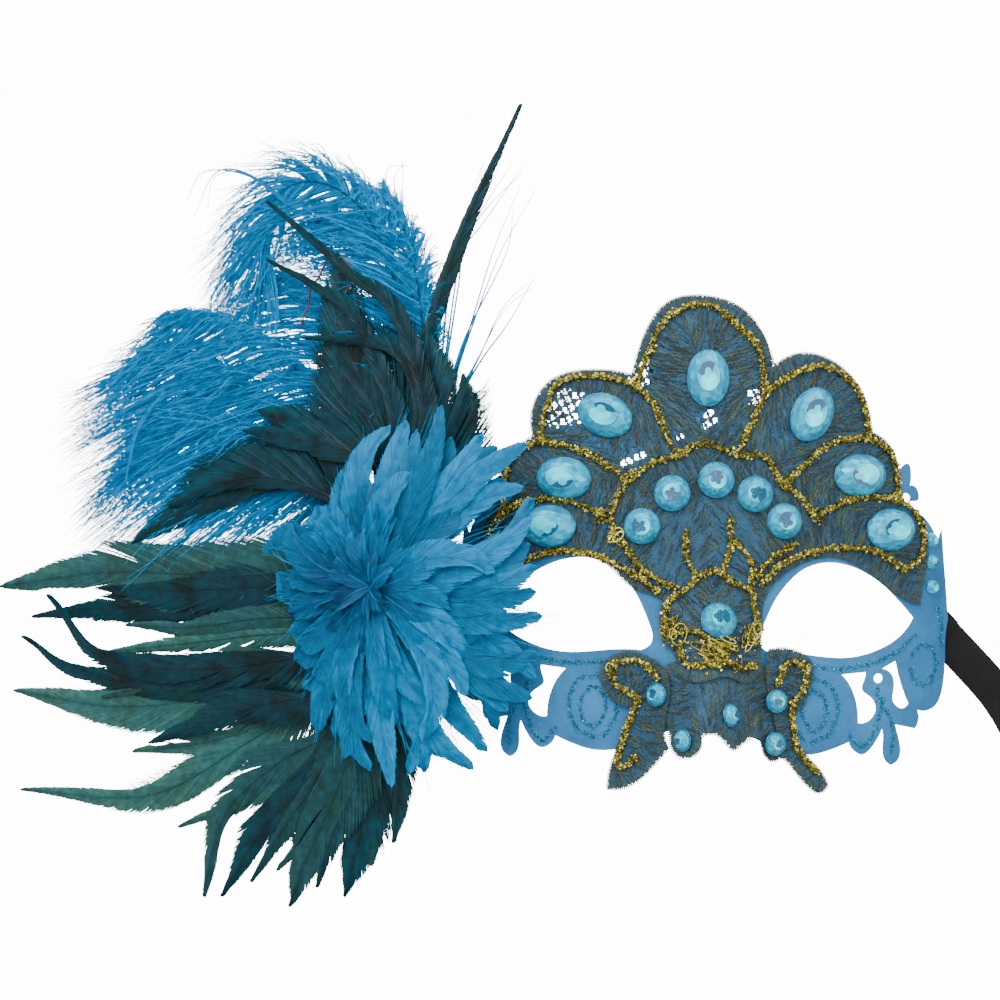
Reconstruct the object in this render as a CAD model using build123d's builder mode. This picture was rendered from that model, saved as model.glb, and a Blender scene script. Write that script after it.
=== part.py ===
"""Venetian half mask with a jewelled lace crest, a feather cluster at one temple and a ribbon tie.

Frame: +X towards the viewer's right, -Y out of the mask's front, +Z up as the mask is worn.
The origin is where the bridge of the wearer's nose touches the inside of the shell.
"""

import math
import os

from build123d import *

# Face curve: the inside of the shell is an ellipse in plan, leaning back towards its top.
FACE_HALF_WIDTH = 88.0
FACE_DEPTH = 50.0
LEAN_BACK = 0.0008
NOSE_RISE = 17.0
NOSE_HALF_WIDTH = 13.0
NOSE_TOP = 12.0
NOSE_LENGTH = 52.0
FACE_STATIONS = (-84, -79, -72, -62, -51, -41, -32, -25, -19, -14.5, -11, -7.5, -4)
SHEET_BOTTOM = -66.0
SHEET_STEP = 12.0
SHEET_SECTIONS = 15

# Layers, each measured outwards from the inside of the shell.
SHELL_THICKNESS = 1.2
# Holes through the shell: radii, half sizes of the oval ones, and where each one is.
CURL_HOLE = 1.5
CURL_HOLES_AT = ((55.8, -20.8), (64, 36.8))
CROWN_OVAL = (2.3, 3.8)
CROWN_OVAL_AT = (0, 59.5)
BROW_HOLE = 1.2
BROW_HOLE_AT = (9.4, 54.4)
BROW_OVAL = (4.6, 1.8)
BROW_OVAL_AT = (24, 47, 0)
BROW_OVAL_TURN = -25
GLUE_LINE = 0.15
LACE_THICKNESS = 0.9
FAN_LIFT = SHELL_THICKNESS + GLUE_LINE
FLOWER_LIFT = FAN_LIFT + LACE_THICKNESS + GLUE_LINE
TOP_LIFT = FLOWER_LIFT + LACE_THICKNESS + GLUE_LINE
CORD_HEIGHT = 1.1
CORD_WIDTH = 2.0
STIFFENER_THICKNESS = 0.8

# Rhinestones.
OVAL_STONE = (13.0, 18.0, 4.2)
ROUND_STONE = (10.6, 10.6, 3.8)
DROP_STONE = (6.4, 6.4, 2.4)
SIDE_STONE = (5.0, 5.0, 1.9)
STONE_SIDES = 12

# Feather cluster: a plane turned away from the face at the left temple.
CLUSTER_CENTRE = (-105.7, 28.0, 4.7)
CLUSTER_TURN = 22.0
FEATHER_THICKNESS = 0.8
PLUME_THICKNESS = 3.0
PETAL_THICKNESS = 2.4
PETAL_ROOT = 6.0
DISC_RADIUS = 22.5
DISC_THICKNESS = 2.0
DISC_BACK = -12.0
QUILL_BUNDLE_RADIUS = 8.0
PAD_CENTRE = (21.0, -2.0)
PAD_SIZE = (26.0, 8.0)
PAD_THICKNESS = 4.0

# Ribbon tie.
RIBBON_WIDTH = 12.0
RIBBON_THICKNESS = 0.8
RIBBON_Y = 31.2
HANK_RUNS = 3
HANK_PITCH = 9.0
HANK_LENGTH = 82.0
HANK_WIDTH = 13.0
HANK_CORNER = 1.4
# How thick one run of the hank is, folded on itself, from front to back.
HANK_FOLD = 4.0
BAND_CLEARANCE = 0.1
BAND_WALL = 0.8
BAND_CORNER = 1.6
BAND_HEIGHT = 7.0
PATCH_CENTRE = (74.0, -7.0)
PATCH_SIZE = (12.0, 15.0)
PATCH_THICKNESS = 0.8
TAB_SIZE = (3.0, 12.6)
TAB_LENGTH = 5.0

FRONT_DISTANCE = 60.0
FRONT = Plane.XZ.offset(FRONT_DISTANCE)
FRONT_DEPTH = 150.0


def face_rise(x, z):
    """How far the face curve stands back at this place from the lean, less the nose."""
    down = min(1.0, max(0.0, (NOSE_TOP - z) / NOSE_LENGTH))
    ease = down * down * (3 - 2 * down)
    nose = NOSE_RISE * ease * math.exp(-((x / NOSE_HALF_WIDTH) ** 2))
    return LEAN_BACK * max(z, 0.0) ** 2 - nose


def face_y(x, z, lift):
    """The y of the face curve pushed outwards by lift."""
    across = x / (FACE_HALF_WIDTH + lift)
    return FACE_DEPTH - (FACE_DEPTH + lift) * math.sqrt(1 - across * across) + face_rise(x, z)


def face_point(station, z, lift):
    """The point of a pushed-out face curve that stands in front of a station of the inner one."""
    x = station * (FACE_HALF_WIDTH + lift) / FACE_HALF_WIDTH
    return (x, face_y(x, z, lift))


def face_sheet(lift, thickness):
    """A sheet that follows the face, wide and tall enough for every outline to be cut from it."""
    stations = list(FACE_STATIONS) + [0] + [-station for station in reversed(FACE_STATIONS)]
    with BuildPart() as sheet:
        for section in range(SHEET_SECTIONS):
            height = SHEET_BOTTOM + section * SHEET_STEP
            with BuildSketch(Plane.XY.offset(height)):
                with BuildLine():
                    back = Spline(*[face_point(s, height, lift) for s in stations])
                    front = Spline(*[face_point(s, height, lift + thickness) for s in stations])
                    Line(back @ 0, front @ 0)
                    Line(back @ 1, front @ 1)
                make_face()
        loft()
    return sheet.part


def draw(runs):
    """Draws runs of points end to end: a straight line for two points, a smooth curve for more."""
    for run in runs:
        if len(run) == 2:
            Line(*run)
        else:
            Spline(*run)


def face_plane(x, z, lift, turn=0.0):
    """A plane touching the face at a point, its z axis straight out and its x axis turned."""
    step = 0.5
    slope_x = (face_y(x + step, z, lift) - face_y(x - step, z, lift)) / (2 * step)
    slope_z = (face_y(x, z + step, lift) - face_y(x, z - step, lift)) / (2 * step)
    out = Vector(slope_x, -1, slope_z).normalized()
    sideways = Vector(1, slope_x, 0).normalized()
    upwards = out.cross(sideways)
    angle = math.radians(turn)
    return Plane(
        origin=(x, face_y(x, z, lift), z),
        x_dir=sideways * math.cos(angle) + upwards * math.sin(angle),
        z_dir=out,
    )


def group(solids):
    """Separate solids that share one name."""
    with BuildPart() as together:
        for solid in solids:
            add(solid)
    return together.part


def save(label, part):
    """Labels a finished piece and writes it."""
    part.label = label
    export_step(part, f"parts/{label}.step")


# ---------------------------------------------------------------- shell

SHELL_HALF_EDGE = (
    ((0, -35), (12, -38), (24, -43.6), (35, -44.9), (41, -43.3), (46.6, -41)),
    ((46.6, -41), (48, -43.6), (50.8, -45), (54, -42.9), (57.5, -36.8)),
    ((57.5, -36.8), (57.9, -42), (58.2, -45.8), (60.6, -48.5)),
    ((60.6, -48.5), (63.5, -46.2), (63.5, -41), (61.9, -35.6)),
    ((61.9, -35.6), (68.8, -37)),
    ((68.8, -37), (70, -34.2), (69.5, -31.1)),
    ((69.5, -31.1), (73, -31.3), (76, -29.8), (78.3, -25), (79.2, -15), (80, -2.2)),
    ((80, -2.2), (79, 8), (78, 17), (77, 27)),
    ((77, 27), (75.4, 22.5)),
    ((75.4, 22.5), (73.6, 27), (70.2, 31), (66.6, 32.8)),
    ((66.6, 32.8), (66, 35.8), (68, 36), (68.4, 38.4), (65.2, 40.8)),
    ((65.2, 40.8), (65.7, 44), (64.3, 47.9), (62.6, 46.8), (61.6, 43.6)),
    ((61.6, 43.6), (59.8, 45.6)),
    ((59.8, 45.6), (55, 53), (44, 57.5), (30, 60), (18, 63), (8, 66.4), (0, 67)),
    ((0, 67), (0, -35)),
)
EYE_EDGE = (
    ((20.3, -13), (16.9, -9.6), (18.4, -3.5), (21.4, 3.2), (27.4, 11)),
    ((27.4, 11), (38, 15.7), (51.4, 12.4), (61.6, 4.6), (67.4, -1.5)),
    ((67.4, -1.5), (63.4, -7), (56, -11.6), (45, -14.3), (32, -13.4), (20.3, -13)),
)
CHEEK_WINDOW = (
    ((43.7, -19.6), (51.6, -18.8)),
    ((51.6, -18.8), (51.2, -21.4), (50.5, -24.2), (53.6, -27), (55.2, -31), (53.4, -34), (49.4, -35)),
    ((49.4, -35), (48.8, -29), (47, -24), (43.7, -19.6)),
)
WING_WINDOW = (
    ((61.6, -15.2), (57, -17.7)),
    ((57, -17.7), (60.6, -20), (61.2, -24), (61, -28), (63.8, -30.4), (66.4, -29)),
    ((66.4, -29), (64.4, -24.6), (62.8, -20), (61.6, -15.2)),
)


def mask_shell_part(sheet):
    """The moulded shell: eye openings, lower scrolls, side curls and the crown behind the lace."""
    with BuildPart() as shell:
        add(sheet)
        with BuildSketch(FRONT):
            with BuildLine():
                draw(SHELL_HALF_EDGE)
            make_face()
            for window in (EYE_EDGE, CHEEK_WINDOW, WING_WINDOW):
                with BuildLine():
                    draw(window)
                make_face(mode=Mode.SUBTRACT)
            with Locations(*CURL_HOLES_AT):
                Circle(CURL_HOLE, mode=Mode.SUBTRACT)
            with Locations(CROWN_OVAL_AT):
                Ellipse(*CROWN_OVAL, mode=Mode.SUBTRACT)
            with Locations(BROW_HOLE_AT):
                Circle(BROW_HOLE, mode=Mode.SUBTRACT)
            with Locations(Location(BROW_OVAL_AT, (0, 0, BROW_OVAL_TURN))):
                Ellipse(*BROW_OVAL, mode=Mode.SUBTRACT)
            mirror(about=Plane.YZ)
        extrude(amount=-FRONT_DEPTH, mode=Mode.INTERSECT)
    return shell.part


# ---------------------------------------------------------------- lace

FAN_EDGE = (
    (
        ((-24.9, 73.8), (-21.8, 85.5), (-13.4, 97.6), (-2.4, 99.5), (10.4, 95.1))
        + ((17.2, 85.7), (20.1, 77.8))
    ),
    ((20.1, 77.8), (32, 82), (46.1, 73.9), (50.9, 64.4), (52, 57.5)),
    ((52, 57.5), (59.1, 51.9), (61.6, 42.4), (62.2, 33)),
    ((62.2, 33), (68.1, 29.8), (71.3, 24), (71.2, 14), (69.3, 2.8)),
    ((69.3, 2.8), (58.9, 7.6), (50.4, 13.8), (39.4, 17.6), (27.4, 14.2), (19.8, 7.4), (17.6, -5.4)),
    ((17.6, -5.4), (-13.6, -5.4)),
    ((-13.6, -5.4), (-13.8, 2.9), (-23.6, 6.8), (-29.1, 11.6), (-38, 16.4), (-51.1, 15.3), (-62.7, 7.9)),
    ((-62.7, 7.9), (-69.6, 8.6), (-71.6, 15), (-70.4, 25), (-66.1, 33.1)),
    ((-66.1, 33.1), (-65.4, 43), (-61.4, 49.4), (-55.8, 53.9)),
    ((-55.8, 53.9), (-56.4, 61.5), (-51.4, 71.1), (-40, 75.2), (-24.9, 73.8)),
)
FLOWER_EDGE = (
    ((17.4, -5.8), (15.8, 1), (14.4, 7.4)),
    ((14.4, 7.4), (10, 8), (3.2, 13.6), (-3.4, 11.4), (-7.6, 7), (-13.4, 4)),
    ((-13.4, 4), (-14.8, -4), (-13.4, -10.4)),
    ((-13.4, -10.4), (-10, -14), (-9.6, -19.4)),
    ((-9.6, -19.4), (-2, -21.6), (6, -20), (12, -22), (17.2, -18.4)),
    ((17.2, -18.4), (17, -12), (17.4, -5.8)),
)
TAIL_EDGE = (
    ((-11.6, -17), (-14.4, -26), (-12.6, -34), (-10.8, -42.3)),
    ((-10.8, -42.3), (-5.7, -45.7), (-2.4, -43), (-1.9, -38.9)),
    ((-1.9, -38.9), (5.2, -40.2), (8.4, -42.8), (12, -40.9), (17.4, -39.6)),
    ((17.4, -39.6), (18.4, -44), (20.4, -46.7), (23.6, -46.6)),
    ((23.6, -46.6), (24.4, -36), (21, -26), (18.4, -17)),
    ((18.4, -17), (4, -14.6), (-11.6, -17)),
)
LEFT_LEAF_EDGE = (
    ((-20.7, -14.2), (-28.5, -14.8), (-32.8, -19), (-31.4, -26), (-22.6, -30.6)),
    ((-22.6, -30.6), (-25, -38), (-29.2, -50), (-30, -57)),
    ((-30, -57), (-25, -56.6), (-16, -49.5), (-11.4, -43)),
    ((-11.4, -43), (-12.6, -33), (-11.6, -23), (-20.7, -14.2)),
)
RIGHT_LEAF_EDGE = (
    ((19.5, -12.1), (25, -11.4), (33.4, -15.6), (32.8, -24.5), (28.6, -32.4)),
    ((28.6, -32.4), (29.4, -41), (35, -47.4), (39.8, -54.4)),
    ((39.8, -54.4), (37.6, -56.8), (30.7, -52.3), (24.2, -46)),
    ((24.2, -46), (22.6, -36), (20, -26), (19.5, -12.1)),
)
STIFFENER_EDGE = (
    ((-19, 70), (-18, 84), (-10, 93.6), (4, 95), (14.8, 90), (18.6, 82), (16, 70)),
    ((16, 70), (-19, 70)),
)


def cut_sheet(sheet, runs):
    """A piece of a face sheet inside an outline seen from the front."""
    with BuildPart() as piece:
        add(sheet)
        with BuildSketch(FRONT):
            with BuildLine():
                draw(runs)
            make_face()
        extrude(amount=-FRONT_DEPTH, mode=Mode.INTERSECT)
    return piece.part


# ---------------------------------------------------------------- gold cord

LOBE_CORDS = (
    ((-23.6, 70.5), (-20, 80), (-14, 92), (-2, 96.6), (8.8, 89.6), (14.6, 83), (17.6, 69.4)),
    ((17.6, 69.4), (26, 75), (36, 77.9), (46, 72), (49.8, 63), (50.7, 55.8)),
    ((50.7, 55.8), (57.4, 52), (60, 46), (61, 36.4)),
    ((61, 36.4), (67.4, 31.6), (69.9, 25), (68.8, 18), (63, 14)),
    ((63, 14), (54, 19.4), (39.7, 20.4), (24.3, 15.9), (16.4, 7.8)),
    ((-23.6, 70.5), (-36, 73.2), (-47.5, 71), (-51.6, 62.5), (-53.2, 52.5)),
    ((-53.2, 52.5), (-60, 48.6), (-63.8, 42), (-64.1, 29.4)),
    ((-64.1, 29.4), (-68.6, 22), (-67.4, 12.6), (-61.4, 11.6)),
    ((-61.4, 11.6), (-51, 16.8), (-37, 16.8), (-24.4, 11.4), (-15, 5.4)),
    ((-23.6, 70.5), (-17.8, 64), (-12.7, 52)),
    ((17.6, 69.4), (12.8, 59), (9.6, 51.6)),
    ((-53.2, 52.5), (-41, 49.6), (-28.6, 42.6)),
    ((50.7, 55.8), (38, 53), (24.6, 41.4)),
    ((-64.1, 29.4), (-58, 33), (-46, 33.8), (-33, 29.4)),
    ((61, 36.4), (48, 36.4), (36, 31.8)),
)
SCALLOP_CORDS = (
    ((-29, 22.6), (-30.4, 30), (-25.6, 40.6)),
    ((-25.6, 40.6), (-18, 46), (-10, 48.4)),
    ((-10, 48.4), (-2, 52.6), (9.4, 48.6)),
    ((9.4, 48.6), (17, 48.8), (22.6, 40.8)),
    ((22.6, 40.8), (29, 36), (33.6, 29.4)),
)
NET_CORDS = (
    ((-27, 21), (-20, 12), (-9.6, 6.4)),
    ((-7, 25), (-6.4, 16), (-4, 11.6)),
    ((6.6, 29), (7, 20), (4.6, 13)),
    ((8.4, 22), (14, 15), (13.6, 8)),
    ((28, 22), (20, 16.6), (15.4, 11)),
)
FLOWER_CORDS = (
    ((-12.9, -8.6), (-13.3, -3), (-12, 3)),
    ((-12, 3), (-7, 6.2), (-2.4, 11), (3.2, 12.4), (7, 9.6), (13.8, 6.4)),
    ((13.8, 6.4), (14.8, 0.4), (16.6, -6)),
    ((-11.8, -8.2), (-5, -6.6), (0.6, -9)),
    ((-8.2, -10.4), (-7.4, -15), (-3.9, -17.4), (4, -14.6), (9, -17.6), (15.2, -16.8)),
)
LEFT_LEAF_CORDS = (
    ((-29.4, -17.6), (-23, -16.2), (-17.5, -18.6), (-14.4, -22)),
    ((-29.4, -17.6), (-28.4, -23.4), (-20.4, -28.2)),
    ((-20.4, -28.2), (-23.8, -36), (-27, -47.6)),
    ((-27, -47.6), (-25.5, -50), (-20.6, -46.4)),
)
RIGHT_LEAF_CORDS = (
    ((22.4, -23.6), (24.1, -17.7), (27, -15.6), (31.8, -17)),
    ((31.8, -17), (31.4, -23), (27.4, -29)),
    ((27.4, -29), (27.8, -36), (29.4, -43.4)),
    ((29.4, -43.4), (33, -47.6), (36.4, -50.2)),
)


def cord_group(sheet, runs):
    """Raised cord along runs of points, seen from the front, on top of a layer of lace."""
    with BuildPart() as cords:
        add(sheet)
        with BuildSketch(FRONT):
            for run in runs:
                with BuildLine() as path:
                    Spline(*run)
                trace(path.line, line_width=CORD_WIDTH)
        extrude(amount=-FRONT_DEPTH, mode=Mode.INTERSECT)
    return cords.part


# ---------------------------------------------------------------- stones

OVAL_STONES = {
    "oval_stone_top": (-1.0, 73.2, 0),
    "oval_stone_upper_left": (-33.2, 60.8, 70),
    "oval_stone_upper_right": (32.2, 62.5, -28),
    "oval_stone_middle_left": (-45.7, 40.6, 86),
    "oval_stone_middle_right": (48.2, 43.6, -84),
    "oval_stone_lower_left": (-50.1, 25.3, 90),
    "oval_stone_lower_right": (58.8, 26.6, -86),
}
ROUND_STONES = ((-20.9, 26.0), (-11.7, 36.6), (2.1, 41.0), (14.5, 36.9), (23.9, 28.6))
NOSE_STONE = (3.4, -2.9)
NOSE_SETTING = 0.6
DROP_STONES_ON_TAIL = ((-7.3, -40.1), (7.2, -32.0))
DROP_STONES_ON_LEAVES = ((-15.5, -26.6), (22.4, -28.0), (22.3, -41.4))
DROP_SETTING = 0.9
SIDE_STONES = ((73.0, 23.4), (73.2, 16.5), (73.6, 8.4))


def stone(x, z, size, lift, turn=0.0):
    """A flat-backed faceted stone: straight girdle, two rings of facets and a flat table."""
    width, height, depth = size
    tiers = ((0.0, 1.0), (0.22, 1.0), (0.62, 0.83), (1.0, 0.5))
    seat = face_plane(x, z, lift, turn)
    with BuildPart() as gem:
        for share, scale in tiers:
            with BuildSketch(seat.offset(share * depth)):
                corners = [360 / STONE_SIDES * (i + 0.5) for i in range(STONE_SIDES)]
                Polygon(
                    *[
                        (
                            scale * width / 2 * math.cos(math.radians(a)),
                            scale * height / 2 * math.sin(math.radians(a)),
                        )
                        for a in corners
                    ]
                )
        loft(ruled=True)
    return gem.part


# ---------------------------------------------------------------- feathers

CLUSTER = Plane(
    origin=CLUSTER_CENTRE,
    x_dir=(math.cos(math.radians(CLUSTER_TURN)), -math.sin(math.radians(CLUSTER_TURN)), 0),
    z_dir=(-math.sin(math.radians(CLUSTER_TURN)), -math.cos(math.radians(CLUSTER_TURN)), 0),
)

# Each coque feather: the points its quill passes through in the cluster plane, its width and
# how far in front of that plane it lies.
UPPER_COQUE_TIPS = (
    (((17.6, 55), (18.6, 79.4), (28.2, 111.4), (47.2, 154)), 6, 1),
    (((19.5, 55), (10.3, 85.4), (-9.5, 102.1), (-37.7, 123.8)), 4, 8),
    (((17.4, 54), (11.9, 72), (-2.3, 78.3), (-24.1, 79.6)), 4, 7),
    (((8.3, 54), (-4.7, 83.9), (-20, 95.9), (-38.2, 105.1)), 4, 6),
)
LEFT_COQUE_SICKLES = (
    (((-22.9, -23.3), (-59.2, -29), (-94.8, -26.2), (-117, -6.9)), 9, 7),
    (((-20.2, -28.2), (-60.1, -34.8), (-103.3, -32.3), (-127.5, -21.2)), 9, 5),
    (((-16, -34.4), (-37.5, -40.3), (-55.6, -46.7), (-77.7, -54.4)), 9, 6),
)
COQUE_FEATHERS = (
    (((11, 37.4), (-1.2, 59.8), (-9.6, 82.4), (-14.8, 106.8)), 26, 3),
    (((19.1, 27.9), (21, 50.3), (20.7, 63.1), (18.8, 82.3)), 20, 5),
    (((9.8, 34.1), (-8.1, 43.5), (-26.2, 47.1), (-46.2, 49.2)), 14, 4),
    (((-15.9, 30.4), (-41.3, 33.2), (-63.2, 25.5), (-88.3, 11.6)), 18, 2),
    (((-18.4, 4.4), (-54.7, 1.6), (-95.8, 1.4), (-138, -4.6)), 20, 3),
    (((-19.1, -5.5), (-51.8, -6.6), (-89.1, -9.8), (-126.5, -14.5)), 14, 1),
    (((-17.1, -26.5), (-53.2, -37.8), (-90.3, -43.1), (-130.7, -39.6)), 20, 4),
    (((-17.9, -34.7), (-44.6, -53.9), (-79.4, -72.3), (-128.3, -73.1)), 14, 2),
    (((-9.1, -43.9), (-32, -59.6), (-49.8, -77), (-57.2, -103.8)), 14, 5),
    (((-8.2, -43.9), (-22, -65.8), (-36.1, -81.3), (-51.3, -103.6)), 16, 3),
    (((-2.4, -43.6), (-9, -66.6), (-17.4, -84.9), (-25.9, -105)), 20, 4),
    (((2, -43.5), (1.4, -62.9), (-1.7, -80.9), (-7.3, -100.7)), 20, 2),
)
COQUE_ROOT = 1.6
VANE_STATIONS = (0, 0.12, 0.3, 0.55, 0.8)
PLUME_QUILL_WIDTH = 3.0
# A plume's bare quill reaches this far into its outline, as a share of the outline's first point.
PLUME_ROOT = 1.1

OSTRICH_PLUMES = (
    (
        (
            ((4, 44), (8, 80), (8, 112), (-14, 150), (-44, 154))
            + ((-72, 142), (-74, 118), (-58, 92), (-26, 66))
        ),
        -4,
    ),
    (
        (
            ((-16, 36), (-44, 84), (-84, 102), (-114, 92))
            + ((-124, 66), (-118, 26), (-90, 16), (-50, 26))
        ),
        -8,
    ),
)
PETAL_RINGS = (
    ((-34, 10.5), (-26, -12), (-20, -34), (-4, -54), (20.9, -60), (38, -52), (50.4, -34), (60, -5)),
    ((52, 10), (48, 27), (52.9, 44.9), (23.2, 53.4), (3, 44), (-13, 30)),
    ((-22, 22), (-24, 0), (-16, -26), (2, -42), (24, -40), (40, -18), (42, 8), (30, 30), (8, 34)),
    ((-12, 14), (-14, -8), (0, -24), (18, -24), (28, -4), (22, 18), (2, 22)),
)
PETAL_LIFTS = (11.0, 14.0, 17.0, 20.0)
PETAL_WIDTHS = (19.0, 17.0, 14.0, 10.0)


def bare_quill(point, width):
    """The bare quill from the edge of the quill bundle out to a point of the cluster plane."""
    end = Vector(*point)
    with BuildLine() as quill:
        Line(end.normalized() * QUILL_BUNDLE_RADIUS, end)
    trace(quill.line, line_width=width)


def feather(quill_points, width, lift):
    """A flat vane along a curved quill, narrow at its root and pointed at its tip."""
    quill = Spline(*quill_points)

    def edge(place, side):
        swell = COQUE_ROOT + (width - COQUE_ROOT) * math.sin(math.pi * place**0.8) ** 0.8
        across = Vector(0, 0, 1).cross(quill % place)
        point = (quill @ place) + across * (side * swell / 2)
        return (point.X, point.Y)

    left = [edge(place, 1) for place in VANE_STATIONS] + [quill_points[-1]]
    right = [edge(place, -1) for place in VANE_STATIONS] + [quill_points[-1]]
    overlap = quill @ VANE_STATIONS[1]
    with BuildPart() as vane:
        with BuildSketch(CLUSTER.offset(lift)):
            with BuildLine():
                draw((left, right, (left[0], right[0])))
            make_face()
            bare_quill((overlap.X, overlap.Y), COQUE_ROOT)
        extrude(amount=FEATHER_THICKNESS)
    return vane.part


def plume(outline, lift):
    """A soft ostrich plume: the space that its drooping barbs fill."""
    with BuildPart() as mass:
        with BuildSketch(CLUSTER.offset(lift)):
            with BuildLine():
                Spline(*outline, outline[0])
            make_face()
            bare_quill((outline[0][0] * PLUME_ROOT, outline[0][1] * PLUME_ROOT), PLUME_QUILL_WIDTH)
        extrude(amount=PLUME_THICKNESS)
    return mass.part


def petal_ring(tips, lift, width):
    """Short rosette feathers that share one bound root."""
    with BuildPart() as ring:
        with BuildSketch(CLUSTER.offset(lift)):
            Circle(PETAL_ROOT)
            for tip_x, tip_y in tips:
                length = math.hypot(tip_x, tip_y)
                along = (tip_x / length, tip_y / length)
                across = (-along[1] * width / 2, along[0] * width / 2)
                middle = (tip_x * 0.62, tip_y * 0.62)
                left = (middle[0] + across[0], middle[1] + across[1])
                right = (middle[0] - across[0], middle[1] - across[1])
                with BuildLine():
                    draw((((0, 0), left, (tip_x, tip_y)), ((0, 0), right, (tip_x, tip_y))))
                make_face()
        extrude(amount=PETAL_THICKNESS)
    return ring.part


def backing_disc_part():
    """The felt disc that the feathers are glued to."""
    with BuildPart() as disc:
        with BuildSketch(CLUSTER.offset(DISC_BACK)):
            Circle(DISC_RADIUS)
        extrude(amount=DISC_THICKNESS)
    return disc.part


def quill_bundle_part():
    """The bound quills and glue between the felt disc and the lowest ring of rosette feathers."""
    bottom = DISC_BACK + DISC_THICKNESS
    with BuildPart() as bundle:
        with BuildSketch(CLUSTER.offset(bottom)):
            Circle(QUILL_BUNDLE_RADIUS)
        extrude(amount=PETAL_LIFTS[0] - bottom)
    return bundle.part


def glue_pad_part(shell_sheet):
    """The pad that fixes the felt disc to the outside of the shell's left wing, shaped to it."""
    with BuildPart() as pad:
        with BuildSketch(CLUSTER.offset(DISC_BACK + DISC_THICKNESS)):
            with Locations(PAD_CENTRE):
                SlotOverall(*PAD_SIZE, rotation=90)
        extrude(amount=PAD_THICKNESS)
        add(shell_sheet, mode=Mode.SUBTRACT)
    return pad.part


# ---------------------------------------------------------------- ribbon tie

# The ribbon's middle line from its patch inside the right wing to the top of its hank.
RIBBON_ROUTE = ((79.4, -7.6), (89, -17.2), (98.6, -27.6), (106, -40.4), (110.4, -54.4), (110.4, -68.4))
ROUTE_SHARE = 0.45


def route_radii(route):
    """Each corner's arc: as large as the shorter of its two runs allows."""
    radii = []
    for before, corner, after in zip(route, route[1:], route[2:]):
        first = Vector(*corner) - Vector(*before)
        second = Vector(*after) - Vector(*corner)
        turn = math.radians(first.get_angle(second))
        radii.append(ROUTE_SHARE * min(first.length, second.length) / math.tan(turn / 2))
    return radii


def tie_patch_part(sheet, side):
    """The fabric patch glued inside a wing: its side is 1 on the right and -1 on the left."""
    with BuildPart() as patch:
        add(sheet)
        with BuildSketch(FRONT):
            with Locations((side * PATCH_CENTRE[0], PATCH_CENTRE[1])):
                RectangleRounded(*PATCH_SIZE, 1.5)
        extrude(amount=-FRONT_DEPTH, mode=Mode.INTERSECT)
    return patch.part


def tie_tab_part(patch):
    """The right patch with the folded tab on it that the ribbon leaves."""
    start, towards = [Vector(x, RIBBON_Y, z) for x, z in RIBBON_ROUTE[:2]]
    with BuildPart() as tab:
        add(patch)
        with BuildSketch(Plane(origin=start, z_dir=towards - start, x_dir=(0, 1, 0))):
            Rectangle(*TAB_SIZE)
        extrude(amount=-TAB_LENGTH)
    return tab.part


def tie_ribbon_part():
    """The ribbon along its free stretch, flat to the front."""
    radii = route_radii(RIBBON_ROUTE)
    with BuildPart() as ribbon:
        with BuildLine(Plane.XZ.offset(-RIBBON_Y)) as route:
            FilletPolyline(*RIBBON_ROUTE, radius=radii)
        path = route.wires()[0]
        with BuildSketch(Plane(origin=path @ 0, z_dir=path % 0, x_dir=(0, 1, 0))):
            Rectangle(RIBBON_THICKNESS, RIBBON_WIDTH)
        sweep(path=path)
    length = path.length
    print("tie_ribbon radii", [round(r, 1) for r in radii], "length", round(length, 1))
    print(
        "tie_ribbon volume",
        round(ribbon.part.volume, 1),
        "section x length",
        round(length * RIBBON_THICKNESS * RIBBON_WIDTH, 1),
    )
    return ribbon.part


def hank_frame():
    """The hank's middle in X, its front and back in Y and its top and bottom in Z."""
    middle, top = RIBBON_ROUTE[-1]
    front = RIBBON_Y - HANK_FOLD / 2
    back = front + HANK_PITCH * (HANK_RUNS - 1) + HANK_FOLD
    return middle, front, back, top, top - HANK_LENGTH


def tie_hank_part():
    """The outer shape of the ribbon's folded remainder, hanging down."""
    middle, front, back, top, bottom = hank_frame()
    with BuildPart() as hank:
        with BuildSketch(Plane.YZ.offset(middle - HANK_WIDTH / 2)):
            with Locations(((front + back) / 2, (top + bottom) / 2)):
                RectangleRounded(back - front, top - bottom, HANK_CORNER)
        extrude(amount=HANK_WIDTH)
    return hank.part


def tie_band_part():
    """The loop of ribbon that holds the hank's runs together."""
    middle, front, back, top, bottom = hank_frame()
    inner = (HANK_WIDTH + 2 * BAND_CLEARANCE, back - front + 2 * BAND_CLEARANCE)
    with BuildPart() as band:
        with BuildSketch(Plane.XY.offset(top - HANK_LENGTH / 3)):
            with Locations((middle, (front + back) / 2)):
                RectangleRounded(inner[0] + 2 * BAND_WALL, inner[1] + 2 * BAND_WALL, BAND_CORNER)
                Rectangle(*inner, mode=Mode.SUBTRACT)
        extrude(amount=BAND_HEIGHT)
    return band.part


# ---------------------------------------------------------------- assembly


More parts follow.
